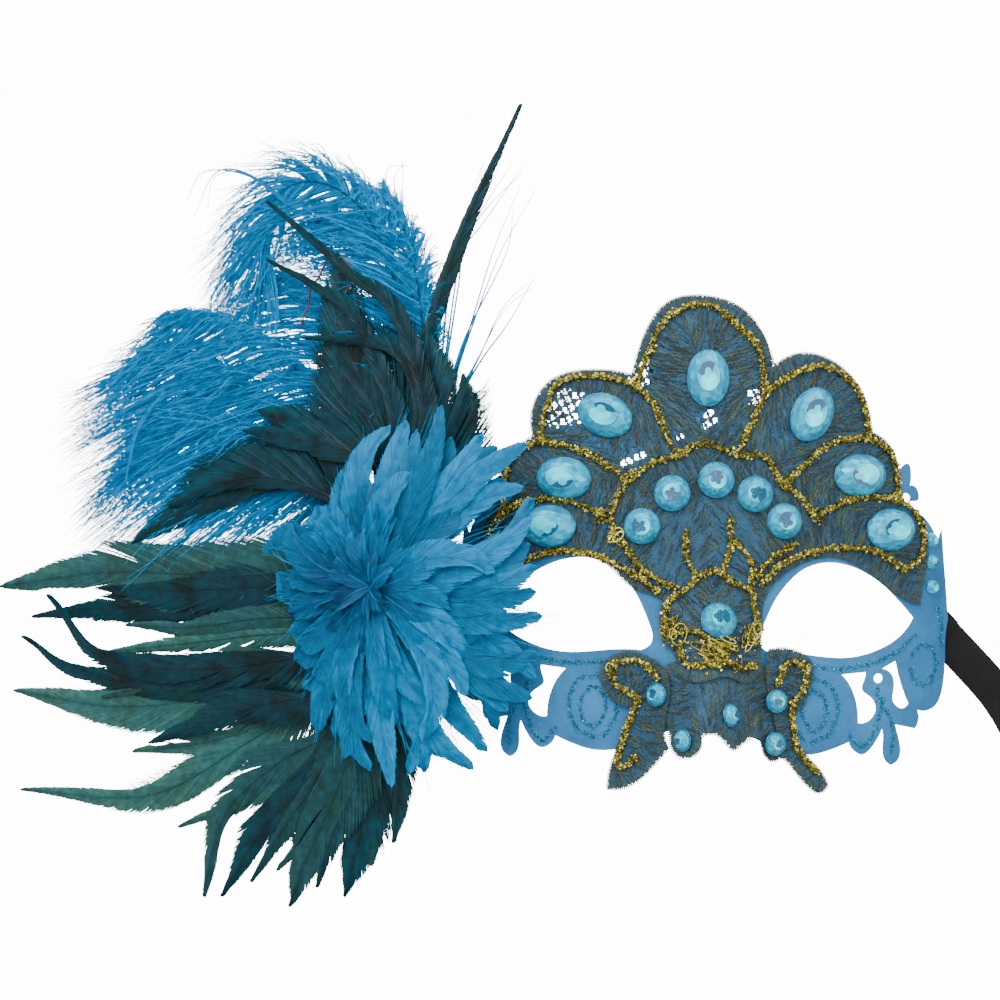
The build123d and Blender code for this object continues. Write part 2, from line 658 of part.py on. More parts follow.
def main():
    """Builds every piece and writes it."""
    os.makedirs("parts", exist_ok=True)
    shell_sheet = face_sheet(0, SHELL_THICKNESS)
    save("mask_shell", mask_shell_part(shell_sheet))

    fan_sheet = face_sheet(FAN_LIFT, LACE_THICKNESS)
    flower_sheet = face_sheet(FLOWER_LIFT, LACE_THICKNESS)
    save("lace_fan", cut_sheet(fan_sheet, FAN_EDGE))
    save("lace_tail", cut_sheet(fan_sheet, TAIL_EDGE))
    save("lace_flower", cut_sheet(flower_sheet, FLOWER_EDGE))
    save("lace_leaf_left", cut_sheet(flower_sheet, LEFT_LEAF_EDGE))
    save("lace_leaf_right", cut_sheet(flower_sheet, RIGHT_LEAF_EDGE))
    stiffener_sheet = face_sheet(SHELL_THICKNESS - STIFFENER_THICKNESS, STIFFENER_THICKNESS)
    save("crest_stiffener", cut_sheet(stiffener_sheet, STIFFENER_EDGE))

    fan_cord_sheet = face_sheet(FLOWER_LIFT, CORD_HEIGHT)
    top_cord_sheet = face_sheet(TOP_LIFT, CORD_HEIGHT)
    save("gold_cord_lobes", cord_group(fan_cord_sheet, LOBE_CORDS))
    save("gold_cord_scallops", cord_group(fan_cord_sheet, SCALLOP_CORDS))
    save("gold_cord_net", cord_group(fan_cord_sheet, NET_CORDS))
    save("gold_cord_flower", cord_group(top_cord_sheet, FLOWER_CORDS))
    save("gold_cord_leaf_left", cord_group(top_cord_sheet, LEFT_LEAF_CORDS))
    save("gold_cord_leaf_right", cord_group(top_cord_sheet, RIGHT_LEAF_CORDS))

    for label, (x, z, turn) in OVAL_STONES.items():
        save(label, stone(x, z, OVAL_STONE, FLOWER_LIFT, turn))
    for number, (x, z) in enumerate(ROUND_STONES, 1):
        save(f"round_stone_{number}", stone(x, z, ROUND_STONE, FLOWER_LIFT))
    save("nose_stone", stone(*NOSE_STONE, ROUND_STONE, TOP_LIFT + NOSE_SETTING))
    drops = [stone(x, z, DROP_STONE, FLOWER_LIFT) for x, z in DROP_STONES_ON_TAIL]
    drops += [stone(x, z, DROP_STONE, TOP_LIFT + DROP_SETTING) for x, z in DROP_STONES_ON_LEAVES]
    for number, drop in enumerate(drops, 1):
        save(f"drop_stone_{number}", drop)
    side_stones = [stone(x, z, SIDE_STONE, SHELL_THICKNESS) for x, z in SIDE_STONES]
    save("side_stones", group(side_stones))

    save("coque_tips_upper", group([feather(*each) for each in UPPER_COQUE_TIPS]))
    save("coque_sickles_left", group([feather(*each) for each in LEFT_COQUE_SICKLES]))
    for number, each in enumerate(COQUE_FEATHERS, 1):
        save(f"coque_feather_{number:02d}", feather(*each))
    for number, (outline, lift) in enumerate(OSTRICH_PLUMES, 1):
        save(f"ostrich_plume_{number}", plume(outline, lift))
    for number, (tips, lift, width) in enumerate(zip(PETAL_RINGS, PETAL_LIFTS, PETAL_WIDTHS), 1):
        save(f"rosette_ring_{number}", petal_ring(tips, lift, width))
    save("backing_disc", backing_disc_part())
    save("quill_bundle", quill_bundle_part())
    save("glue_pad", glue_pad_part(shell_sheet))

    patch_sheet = face_sheet(-PATCH_THICKNESS - GLUE_LINE, PATCH_THICKNESS)
    save("tie_patch_left", tie_patch_part(patch_sheet, -1))
    save("tie_patch_right", tie_tab_part(tie_patch_part(patch_sheet, 1)))
    save("tie_ribbon", tie_ribbon_part())
    save("tie_hank", tie_hank_part())
    save("tie_band", tie_band_part())


main()
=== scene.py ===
"""Looks for the venetian half mask: lace, gold cord, cut stones, feathers and a satin ribbon tie.

Lengths in the tables are millimetres in the frame of the CAD model, turned into metres by MM.
"""

import math

import bpy
import numpy as np
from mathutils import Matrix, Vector


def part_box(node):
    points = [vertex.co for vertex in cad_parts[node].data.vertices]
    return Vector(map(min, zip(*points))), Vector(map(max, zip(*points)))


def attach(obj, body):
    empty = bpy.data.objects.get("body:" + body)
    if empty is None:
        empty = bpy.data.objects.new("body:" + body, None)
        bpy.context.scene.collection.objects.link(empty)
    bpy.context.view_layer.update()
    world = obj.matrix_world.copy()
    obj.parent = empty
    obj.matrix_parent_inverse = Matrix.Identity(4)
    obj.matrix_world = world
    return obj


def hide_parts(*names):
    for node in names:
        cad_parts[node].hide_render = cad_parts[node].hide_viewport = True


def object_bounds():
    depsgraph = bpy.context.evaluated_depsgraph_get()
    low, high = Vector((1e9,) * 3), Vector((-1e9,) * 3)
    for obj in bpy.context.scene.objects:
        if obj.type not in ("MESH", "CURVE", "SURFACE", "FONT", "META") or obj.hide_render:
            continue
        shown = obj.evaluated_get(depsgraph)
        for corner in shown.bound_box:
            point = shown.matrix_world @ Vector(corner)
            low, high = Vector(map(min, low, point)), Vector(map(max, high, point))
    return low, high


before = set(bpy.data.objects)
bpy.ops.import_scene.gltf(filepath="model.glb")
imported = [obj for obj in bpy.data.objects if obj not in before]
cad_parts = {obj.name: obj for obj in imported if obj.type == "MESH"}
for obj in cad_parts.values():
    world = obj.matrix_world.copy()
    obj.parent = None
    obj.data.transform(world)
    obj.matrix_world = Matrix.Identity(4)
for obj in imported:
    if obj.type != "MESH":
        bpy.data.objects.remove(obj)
cad_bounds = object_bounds()

MM = 0.001
BODY = "root"
SEED = 7

# The face that the shell and the lace follow, as in the CAD model.
FACE_HALF_WIDTH = 88.0
FACE_DEPTH = 50.0
LEAN_BACK = 0.0008
NOSE_RISE = 17.0
NOSE_HALF_WIDTH = 13.0
NOSE_TOP = 12.0
NOSE_LENGTH = 52.0
SHELL_TOP = 1.2
FAN_BASE = 1.35
FLOWER_BASE = 2.4
LACE_SHEET = 0.45

# The feather cluster's plane.
CLUSTER_TURN = math.radians(22.0)
CLUSTER_X = np.array((math.cos(CLUSTER_TURN), -math.sin(CLUSTER_TURN), 0.0))
CLUSTER_Z = np.array((0.0, 0.0, 1.0))
CLUSTER_OUT = np.array((-math.sin(CLUSTER_TURN), -math.cos(CLUSTER_TURN), 0.0))
BUNDLE_MIDDLE = 0.5


# ---------------------------------------------------------------- camera

CAMERA_PLACE = (-65.8, -1000.0, 33.2)
CAMERA_ROLL = math.radians(1.3)
CAMERA_LENS = 114.3


def make_camera():
    """A square view straight from the front, rolled a little."""
    data = bpy.data.cameras.new("camera")
    data.lens = CAMERA_LENS
    data.sensor_width = 36.0
    data.dof.use_dof = False
    camera = bpy.data.objects.new("camera", data)
    camera.location = [each * MM for each in CAMERA_PLACE]
    camera.rotation_euler = (math.radians(90.0), -CAMERA_ROLL, 0.0)
    bpy.context.scene.collection.objects.link(camera)
    bpy.context.scene.camera = camera


# ---------------------------------------------------------------- shapes in numbers


def face_y(x, z, lift):
    """The y of the face pushed out by lift, for arrays of x and z."""
    down = np.clip((NOSE_TOP - z) / NOSE_LENGTH, 0.0, 1.0)
    ease = down * down * (3 - 2 * down)
    nose = NOSE_RISE * ease * np.exp(-((x / NOSE_HALF_WIDTH) ** 2))
    across = np.clip(x / (FACE_HALF_WIDTH + lift), -0.995, 0.995)
    curve = FACE_DEPTH - (FACE_DEPTH + lift) * np.sqrt(1 - across**2)
    return curve + LEAN_BACK * np.maximum(z, 0.0) ** 2 - nose


def on_face(flat, lift):
    """Points of the front view, (..., 2), laid on the face at a lift."""
    flat = np.asarray(flat, float)
    x, z = flat[..., 0], flat[..., 1]
    return np.stack([x, face_y(x, z, lift), z], -1)


def face_out(flat, lift=SHELL_TOP):
    """Unit vectors straight out of the face at points of the front view."""
    x, z = flat[..., 0], flat[..., 1]
    step = 0.4
    slope_x = (face_y(x + step, z, lift) - face_y(x - step, z, lift)) / (2 * step)
    slope_z = (face_y(x, z + step, lift) - face_y(x, z - step, lift)) / (2 * step)
    return unit(np.stack([slope_x, -np.ones_like(x), slope_z], -1))


def unit(vectors):
    """The same vectors at length one."""
    size = np.linalg.norm(vectors, axis=-1, keepdims=True)
    return vectors / np.maximum(size, 1e-9)


def distances(points):
    """How far along a line of points each of them is."""
    steps = np.linalg.norm(np.diff(points, axis=0), axis=1)
    return np.concatenate([[0], np.cumsum(steps)])


def sampled(values, along, places):
    """Rows of values, known at the distances along, read off at places."""
    return np.stack([np.interp(places, along, column) for column in values.T], -1)


def smooth_path(points, count):
    """A Catmull-Rom curve through the points, as evenly spaced points."""
    points = np.asarray(points, float)
    before, beyond = 2 * points[0] - points[1], 2 * points[-1] - points[-2]
    knots = np.concatenate([[before], points, [beyond]])
    share = np.linspace(0, 1, 24, endpoint=False)[:, None]
    spans = []
    for a, b, c, d in zip(knots, knots[1:], knots[2:], knots[3:]):
        spans.append(
            0.5
            * (
                2 * b
                + (c - a) * share
                + (2 * a - 5 * b + 4 * c - d) * share**2
                + (3 * b - a - 3 * c + d) * share**3
            )
        )
    dense = np.concatenate(spans + [points[-1:]])
    along = distances(dense)
    return sampled(dense, along, np.linspace(0, along[-1], count))


def path_length(points):
    """How long a line of points is."""
    return float(np.linalg.norm(np.diff(points, axis=0), axis=1).sum())


def mixed(first, second, share):
    """A colour between two colours, for an array of shares."""
    share = np.asarray(share, float)[..., None]
    return np.asarray(first) * (1 - share) + np.asarray(second) * share


def linear(code):
    """The linear colour of a six-letter web colour."""
    levels = [int(code[k : k + 2], 16) / 255 for k in (0, 2, 4)]
    return np.array([c / 12.92 if c <= 0.04045 else ((c + 0.055) / 1.055) ** 2.4 for c in levels])


# ---------------------------------------------------------------- meshes


def mesh_piece(name, points, faces, tint, material, smooth=True):
    """One piece from millimetre points, equal-sided faces and a colour for each point."""
    mesh = bpy.data.meshes.new(name)
    points = np.asarray(points, float).reshape(-1, 3)
    faces = np.asarray(faces, np.int32)
    corners = faces.shape[1]
    mesh.vertices.add(len(points))
    mesh.vertices.foreach_set("co", (points * MM).ravel())
    mesh.loops.add(faces.size)
    mesh.loops.foreach_set("vertex_index", faces.ravel())
    mesh.polygons.add(len(faces))
    mesh.polygons.foreach_set("loop_start", np.arange(0, faces.size, corners, dtype=np.int32))
    mesh.polygons.foreach_set("use_smooth", np.full(len(faces), smooth))
    colour = mesh.color_attributes.new("tint", "FLOAT_COLOR", "POINT")
    rgba = np.ones((len(points), 4))
    rgba[:, :3] = np.asarray(tint, float).reshape(-1, 3)
    colour.data.foreach_set("color", rgba.ravel())
    mesh.update(calc_edges=True)
    mesh.validate()
    mesh.materials.append(material)
    piece = bpy.data.objects.new(name, mesh)
    bpy.context.scene.collection.objects.link(piece)
    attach(piece, BODY)
    return piece


def ribbon_faces(strands, steps, across):
    """Quads for strands of steps rows with a number of points across each row."""
    rows = np.arange(strands)[:, None, None] * steps * across
    rows = rows + np.arange(steps - 1)[None, :, None] * across + np.arange(across - 1)[None, None, :]
    return np.stack([rows, rows + 1, rows + across + 1, rows + across], -1).reshape(-1, 4)


def strips(centre, half, tint, roof=None):
    """Flat strips along centre (strands, steps, 3), or ridged ones when a roof vector is given."""
    strands, steps, _ = centre.shape
    rows = [centre - half, centre + half]
    if roof is not None:
        rows = [centre - half, centre + roof, centre + half]
    points = np.stack(rows, 2)
    colours = np.repeat(tint[:, :, None, :], len(rows), 2)
    return points.reshape(-1, 3), ribbon_faces(strands, steps, len(rows)), colours.reshape(-1, 3)


def tubes(centre, radius, tint, out, sides=5):
    """Round strands along centre (strands, steps, 3) with a radius for each point."""
    strands, steps, _ = centre.shape
    along = unit(np.gradient(centre, axis=1))
    side = unit(np.cross(along, np.broadcast_to(out, centre.shape)))
    up = np.cross(side, along)
    turn = np.linspace(0, 2 * math.pi, sides + 1)
    ring = side[:, :, None] * np.cos(turn)[:, None] + up[:, :, None] * np.sin(turn)[:, None]
    points = centre[:, :, None] + ring * radius[:, :, None, None]
    colours = np.repeat(tint[:, :, None, :], sides + 1, 2)
    return points.reshape(-1, 3), ribbon_faces(strands, steps, sides + 1), colours.reshape(-1, 3)


def joined(parts):
    """Several sets of points, faces and colours as one set."""
    points, faces, colours, start = [], [], [], 0
    for each_points, each_faces, each_colours in parts:
        points.append(each_points)
        faces.append(each_faces + start)
        colours.append(each_colours)
        start += len(each_points)
    return np.concatenate(points), np.concatenate(faces), np.concatenate(colours)


GRAIN_CORNERS = np.array(
    ((1, 0, 0), (-1, 0, 0), (0, 1, 0), (0, -1, 0), (0, 0, 1), (0, 0, -1)), float
)
GRAIN_FACES = np.array(
    ((0, 2, 4), (2, 1, 4), (1, 3, 4), (3, 0, 4), (2, 0, 5), (1, 2, 5), (3, 1, 5), (0, 3, 5))
)


def grains(rng, centres, sizes, tint):
    """Small crushed octahedra, each turned at random."""
    count = len(centres)
    first = unit(rng.normal(size=(count, 3)))
    second = unit(np.cross(first, rng.normal(size=(count, 3))))
    third = np.cross(first, second)
    basis = np.stack([first, second, third], 1)
    stretch = rng.uniform(0.6, 1.2, (count, 1, 3)) * sizes[:, None, None]
    points = centres[:, None] + (GRAIN_CORNERS[None] * stretch) @ basis
    faces = GRAIN_FACES[None] + 6 * np.arange(count)[:, None, None]
    colours = np.repeat(tint[:, None], 6, 1)
    return points.reshape(-1, 3), faces.reshape(-1, 3), colours.reshape(-1, 3)


# ---------------------------------------------------------------- materials


class Finish:
    """A node material under construction: one shader, fed by a few helpers."""

    def __init__(self, name):
        self.material = bpy.data.materials.new(name)
        self.material.use_nodes = True
        self.nodes = self.material.node_tree.nodes
        self.links = self.material.node_tree.links
        self.shader = self.nodes["Principled BSDF"]

    def set(self, **values):
        for name, value in values.items():
            self.shader.inputs[name.replace("_", " ")].default_value = value
        return self

    def node(self, kind, **inputs):
        node = self.nodes.new(kind)
        for name, value in inputs.items():
            node.inputs[name.replace("_", " ")].default_value = value
        return node

    def place(self):
        return self.node("ShaderNodeTexCoord").outputs["Object"]

    def noise(self, scale, detail=3.0, rough=0.5):
        node = self.node("ShaderNodeTexNoise", Scale=scale, Detail=detail, Roughness=rough)
        self.links.new(self.place(), node.inputs["Vector"])
        return node.outputs["Fac"]

    def tint(self):
        node = self.node("ShaderNodeVertexColor")
        node.layer_name = "tint"
        return node.outputs["Color"]

    def ramp(self, value, stops):
        node = self.node("ShaderNodeValToRGB")
        while len(node.color_ramp.elements) < len(stops):
            node.color_ramp.elements.new(0.5)
        for element, (place, colour) in zip(node.color_ramp.elements, stops):
            element.position = place
            element.color = (*colour, 1.0)
        self.links.new(value, node.inputs["Fac"])
        return node.outputs["Color"]

    def mix(self, first, second, share, kind="MIX"):
        node = self.node("ShaderNodeMix")
        node.data_type = "RGBA"
        node.blend_type = kind
        ends = {"Factor": share, "A": first, "B": second}
        for socket in node.inputs:
            if not socket.enabled or socket.name not in ends:
                continue
            end = ends[socket.name]
            if isinstance(end, bpy.types.NodeSocket):
                self.links.new(end, socket)
            else:
                socket.default_value = end
        return next(each for each in node.outputs if each.enabled)

    def mottled(self, colour, scale, detail, stops, share):
        """A colour darkened and lightened by noise; each stop is a place and a level."""
        levels = [(place, (level,) * 3) for place, level in stops]
        return self.mix(colour, self.ramp(self.noise(scale, detail), levels), share, "MULTIPLY")

    def spread(self, value, low, high):
        node = self.node("ShaderNodeMapRange", To_Min=low, To_Max=high)
        self.links.new(value, node.inputs["Value"])
        return node.outputs["Result"]

    def bump(self, height, strength, distance):
        node = self.node("ShaderNodeBump", Strength=strength, Distance=distance)
        self.links.new(height, node.inputs["Height"])
        self.feed("Normal", node.outputs["Normal"])

    def feed(self, socket, value):
        self.links.new(value, self.shader.inputs[socket])
        return self

    def glow_through(self, colour, share):
        """Lets some light through thin barbs."""
        through = self.node("ShaderNodeBsdfTranslucent")
        self.links.new(colour, through.inputs["Color"])
        mixer = self.node("ShaderNodeMixShader", Fac=share)
        output = self.nodes["Material Output"]
        self.links.new(self.shader.outputs["BSDF"], mixer.inputs[1])
        self.links.new(through.outputs["BSDF"], mixer.inputs[2])
        self.links.new(mixer.outputs["Shader"], output.inputs["Surface"])


def shell_finish():
    """Matt blue paint over moulded card: faint cloudy colour, fine tooth and soft dents."""
    finish = Finish("shell_blue_paint").set(Roughness=0.62, Specular_IOR_Level=0.35)
    blues = ((0.3, linear("1A5E90")), (0.52, linear("246EA2")), (0.75, linear("327EB0")))
    cloud = finish.ramp(finish.noise(55, 4), blues)
    finish.feed("Base Color", finish.mottled(cloud, 900, 2, ((0.35, 0.82), (0.6, 1.0)), 0.6))
    finish.feed("Roughness", finish.spread(finish.noise(120), 0.5, 0.74))
    finish.bump(finish.noise(420, 6, 0.65), 0.35, 0.0006)
    return finish.material


def thread_finish(name, shine):
    """Spun thread: the piece's own colour with fine twist marks."""
    finish = Finish(name).set(Specular_IOR_Level=0.4, Metallic=shine, Sheen_Weight=0.25)
    twist = ((0.3, 0.6), (0.7, 1.25))
    finish.feed("Base Color", finish.mottled(finish.tint(), 1500, 2, twist, 0.8))
    finish.feed("Roughness", finish.spread(finish.noise(700), 0.45, 0.8))
    finish.bump(finish.noise(2500, 2), 0.5, 0.0002)
    return finish.material


def glitter_finish(name, rough, metal):
    """Metallic flakes, each with its own colour."""
    finish = Finish(name).set(Metallic=metal, Roughness=rough, Specular_IOR_Level=0.7)
    flakes = ((0.3, 0.75), (0.7, 1.2))
    finish.feed("Base Color", finish.mottled(finish.tint(), 900, 2, flakes, 0.7))
    finish.feed("Roughness", finish.spread(finish.noise(1300), rough * 0.6, rough * 1.5))
    return finish.material


def stone_finish():
    """Foil-backed acrylic: a faint clear coat over facets that each have their own blue, with painted
    glints, highlight and shade in it.
    """
    finish = Finish("stone_acrylic").set(
        Metallic=0.1, Roughness=0.12, Coat_Weight=0.12, Coat_Roughness=0.03, Specular_IOR_Level=0.35
    )
    depth = ((0.35, 0.8), (0.65, 1.15))
    finish.feed("Base Color", finish.mottled(finish.tint(), 260, 1, depth, 0.7))
    finish.feed("Roughness", finish.spread(finish.noise(400), 0.08, 0.2))
    return finish.material


def feather_finish(name, through, rough):
    """Feather barbs: their own colour, streaked along, with light showing through."""
    finish = Finish(name).set(Roughness=rough, Specular_IOR_Level=0.18)
    colour = finish.mottled(finish.tint(), 350, 3, ((0.3, 0.7), (0.7, 1.25)), 0.7)
    finish.feed("Base Color", colour)
    finish.feed("Roughness", finish.spread(finish.noise(500), rough - 0.12, rough + 0.15))
    finish.glow_through(colour, through)
    return finish.material


def coque_finish():
    """Dark barbs with drifting patches of painted green and blue sheen mixed into their colour."""
    finish = Finish("coque_barbs").set(Roughness=0.4, Specular_IOR_Level=0.2)
    # Painted iridescent sheen: noise-driven patches of green and blue mixed into the base colour.
    painted_sheen_patches = ((0.35, linear("032A2C")), (0.5, linear("035468")), (0.65, linear("064C46")))
    colour = finish.mix(finish.tint(), finish.ramp(finish.noise(70, 2), painted_sheen_patches), 0.25)
    colour = finish.mottled(colour, 420, 3, ((0.3, 0.6), (0.7, 1.3)), 0.7)
    finish.feed("Base Color", colour)
    finish.feed("Roughness", finish.spread(finish.noise(600), 0.3, 0.5))
    finish.glow_through(colour, 0.08)
    return finish.material


def satin_finish():
    """Black satin: fine cross ribs and a soft sheen."""
    finish = Finish("black_satin").set(Sheen_Weight=0.02, Sheen_Roughness=0.35, Specular_IOR_Level=0.15)
    cloth = finish.ramp(finish.noise(160, 4), ((0.3, linear("060608")), (0.7, linear("0D0D11"))))
    finish.feed("Base Color", cloth)
    weave = finish.node("ShaderNodeTexWave", Scale=900.0, Distortion=0.6)
    finish.links.new(finish.place(), weave.inputs["Vector"])
    finish.feed("Roughness", finish.spread(finish.noise(300), 0.34, 0.52))
    finish.bump(weave.outputs["Fac"], 0.25, 0.0002)
    return finish.material


def plain_finish(name, dark, light, rough, grain):
    """A cloudy matt finish for glue, felt and card."""
    finish = Finish(name).set(Roughness=rough, Specular_IOR_Level=0.3)
    shades = ((0.3, linear(dark)), (0.7, linear(light)))
    finish.feed("Base Color", finish.ramp(finish.noise(grain, 4), shades))
    finish.feed("Roughness", finish.spread(finish.noise(grain * 2), rough - 0.1, rough + 0.1))
    finish.bump(finish.noise(grain * 4, 5), 0.5, 0.0004)
    return finish.material


SHELL_PAINT = shell_finish()
LACE_THREAD = thread_finish("lace_thread", 0.1)
GOLD_GLITTER = glitter_finish("gold_glitter", 0.34, 0.75)
TEAL_GLITTER = glitter_finish("teal_glitter", 0.3, 0.6)
STONE = stone_finish()
COQUE = coque_finish()
PETAL = feather_finish("rosette_barbs", 0.3, 0.5)
OSTRICH = feather_finish("ostrich_barbs", 0.45, 0.6)
SATIN = satin_finish()
FELT = plain_finish("dark_felt", "10161A", "1E262B", 0.9, 260)
GLUE = plain_finish("set_glue", "8A8268", "B5AD92", 0.45, 180)


def dress(node, material):
    """Gives a CAD node that stays in view its finish."""
    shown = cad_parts[node]
    shown.data.materials.clear()
    shown.data.materials.append(material)


def as_slot(piece, slot, *nodes):
    """Hides the CAD nodes that a new piece stands for and gives the piece back; the slot is not used."""
    if nodes:
        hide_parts(*nodes)
    return piece


# ---------------------------------------------------------------- shell

# Lines of glitter glue on the shell's right half; the left half mirrors them.
GLITTER_LINES = (
    ((21, -16.4), (32, -17), (45, -17.6), (55, -15.4), (62, -12.2), (68.6, -6.6)),
    (
        (31.5, -40.6), (27.6, -33), (29.4, -25), (34.6, -21.4),
        (40.4, -23.6), (42.6, -31), (39.6, -38.6), (34, -41),
    ),
    ((34, -37.8), (31, -32), (32.4, -26.4), (35.8, -25), (38.8, -29), (38, -35.6), (34.6, -38)),
    ((55.4, -24), (56.4, -28), (59.6, -32.6), (61.4, -38), (60.6, -44.6)),
    ((46.4, -38.6), (50.6, -42.6), (54.2, -39), (56, -33.4), (57.8, -27)),
    ((66.8, -14), (69.6, -10.2), (74.4, -11.4), (75.8, -17.6), (73, -22.4), (68.6, -22), (66.4, -17.4)),
    ((74.8, 2.2), (76.6, 0.4), (77.4, -4.8), (77.6, -11)),
)
GLITTER_STEP = 0.16
GLITTER_SPREAD = 0.42
GLITTER_DARK = linear("0A5A78")
GLITTER_LIGHT = linear("2FC2DC")


def make_glitter_lines():
    """Glitter glue drawn on the shell: a low bead packed with teal flakes."""
    rng = np.random.default_rng(SEED)
    parts = []
    for line in GLITTER_LINES:
        for side in (1, -1):
            flat = np.array(line, float) * (side, 1)
            count = int(path_length(flat) / GLITTER_STEP)
            spots = np.repeat(smooth_path(flat, count), 2, axis=0)
            spots = spots + rng.normal(0, GLITTER_SPREAD, spots.shape)
            lift = rng.uniform(0.05, 0.35, len(spots))
            centres = on_face(spots, SHELL_TOP) + face_out(spots) * lift[:, None]
            tint = mixed(GLITTER_DARK, GLITTER_LIGHT, rng.random(len(spots)) ** 2.2)
            parts.append(grains(rng, centres, rng.uniform(0.12, 0.3, len(spots)), tint))
    as_slot(mesh_piece("glitter_lines", *joined(parts), TEAL_GLITTER, smooth=False), "shell_blue")


# ---------------------------------------------------------------- lace

STITCH_PITCH = 0.62
STITCH_REACH = 2.2
STITCH_HEIGHT = 0.42
STITCH_WIDTHS = (0.4, 0.6, 0.62, 0.55, 0.3)
THREAD_STEPS = 8
THREAD_WIDTH = 0.36
THREAD_HEIGHT = 0.34
THREAD_EDGE_GAP = 1.2
THREAD_DARK = linear("1A3036")
THREAD_OLIVE = linear("485534")
THREAD_BLUE = linear("165470")
NET_CELL = 0.6
# The net's open meshes: their pitch and their size, across and along.
NET_PITCH = (2.3, 2.9)
NET_HOLE = (1.25, 1.9)
# The share of the threads that is left over open net, and over the plain middle.
OPEN_SHARE = 0.22
PLAIN_SHARE = 0.3
# The plain middle of the fan, an oval: half its width, half its height and its middle's z.
PLAIN_OVAL = (19, 17, 19)
NET_BLUE = linear("134A68")
NET_DARK = linear("0E3848")

# Open places in the crest's net, where what lies behind shows: x, z and reach.
OPEN_NET = (
    (-44.0, 61.5, 7.5), (-36.0, 52.5, 5.0), (-21.5, 73.5, 4.6), (-1.5, 60.5, 4.2),
    (-9.5, 54.4, 1.8), (-24.5, 47.5, 6.5), (14.5, 68.0, 3.6), (23.0, 55.0, 4.0),
)


def node_points(node):
    """A CAD node's points in millimetres."""
    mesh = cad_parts[node].data
    points = np.empty(len(mesh.vertices) * 3)
    mesh.vertices.foreach_get("co", points)
    return points.reshape(-1, 3) / MM


def outline_of(node):
    """The outer edge of a sheet's front in the front view, as a closed line of the sheet's own points."""
    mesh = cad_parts[node].data
    corners = node_points(node)
    keys = {}
    same = [keys.setdefault(tuple(row), len(keys)) for row in np.round(corners, 3).tolist()]
    places = np.array(list(keys))
    facing = {}
    for polygon in mesh.polygons:
        wall = polygon.normal.y > -0.25
        ring = [same[v] for v in polygon.vertices]
        for first, second in zip(ring, ring[1:] + ring[:1]):
            facing.setdefault((min(first, second), max(first, second)), []).append((wall, first, second))
    follow = {}
    for uses in facing.values():
        fronts = [use for use in uses if not use[0]]
        if len(fronts) == 1 and len(uses) == 2:
            follow[fronts[0][1]] = fronts[0][2]
    loops = []
    while follow:
        start, here = next(iter(follow.items()))
        loop = [start]
        del follow[start]
        while here in follow:
            loop.append(here)
            here = follow.pop(here)
        loops.append(places[loop][:, (0, 2)])
    longest = max(loops, key=path_length)
    return np.concatenate([longest, longest[:1]])


def evenly(line, step):
    """A line of points again, at an even step."""
    along = distances(line)
    return sampled(line, along, np.arange(0, along[-1], step))


def inside(points, line):
    """Which points of the front view lie inside a closed line."""
    within = np.zeros(len(points), bool)
    for (x0, z0), (x1, z1) in zip(line, np.roll(line, -1, axis=0)):
        if z0 == z1:
            continue
        spans = (z0 > points[:, 1]) != (z1 > points[:, 1])
        cross = (x1 - x0) * (points[:, 1] - z0) / (z1 - z0) + x0
        within ^= spans & (points[:, 0] < cross)
    return within


def nearest(points, line):
    """For each point, its distance from a line of points and the direction away from it."""
    distance = np.empty(len(points))
    away = np.empty_like(points)
    for start in range(0, len(points), 2000):
        block = points[start : start + 2000]
        offset = block[:, None] - line[None]
        size = np.linalg.norm(offset, axis=2)
        best = size.argmin(1)
        rows = np.arange(len(block))
        distance[start : start + 2000] = size[rows, best]
        away[start : start + 2000] = unit(offset[rows, best])
    return distance, away


def net_sheet(line, base, rng):
    """The thin ground net of a piece of lace, cut to its outline, with open meshes."""
    low, high = line.min(0), line.max(0)
    xs = np.arange(low[0], high[0] + NET_CELL, NET_CELL)
    zs = np.arange(low[1], high[1] + NET_CELL, NET_CELL)
    grid = np.stack(np.meshgrid(xs, zs, indexing="ij"), -1)
    flat = grid.reshape(-1, 2)
    within = inside(flat, line).reshape(grid.shape[:2])
    middle = (grid[:-1, :-1] + grid[1:, 1:]).reshape(-1, 2) / 2
    keep = (within[:-1, :-1] & within[1:, :-1] & within[:-1, 1:] & within[1:, 1:]).ravel()
    slant = (middle[:, 0] * 0.9 + middle[:, 1] * 0.45, middle[:, 1] * 0.9 - middle[:, 0] * 0.45)
    holes = [np.mod(way, pitch) < size for way, pitch, size in zip(slant, NET_PITCH, NET_HOLE)]
    open_here = np.zeros(len(middle), bool)
    for x, z, reach in OPEN_NET:
        limit = reach * rng.uniform(0.75, 1.1, len(middle))
        open_here |= np.hypot(middle[:, 0] - x, middle[:, 1] - z) < limit
    keep &= ~(holes[0] & holes[1] & open_here)
    index = np.arange(grid.shape[0] * grid.shape[1]).reshape(grid.shape[:2])
    quads = np.stack([index[:-1, :-1], index[1:, :-1], index[1:, 1:], index[:-1, 1:]], -1)
    quads = quads.reshape(-1, 4)[keep]
    used, faces = np.unique(quads, return_inverse=True)
    flat = flat[used]
    wave = 0.5 + 0.5 * np.sin(flat[:, 0] * 0.7) * np.sin(flat[:, 1] * 0.6 + 1)
    colours = mixed(NET_BLUE, NET_DARK, wave * rng.uniform(0.4, 1.0, len(flat)))
    points = on_face(flat, base + LACE_SHEET)
    return points, faces.reshape(quads.shape), colours


def ridge(flat, base, width, height, tint):
    """Raised threads along front-view points (strands, steps, 2)."""
    centre = on_face(flat, base)
    out = face_out(flat)
    side = unit(np.cross(np.gradient(centre, axis=1), out))
    return strips(centre, side * width[..., None] / 2, tint, out * height)


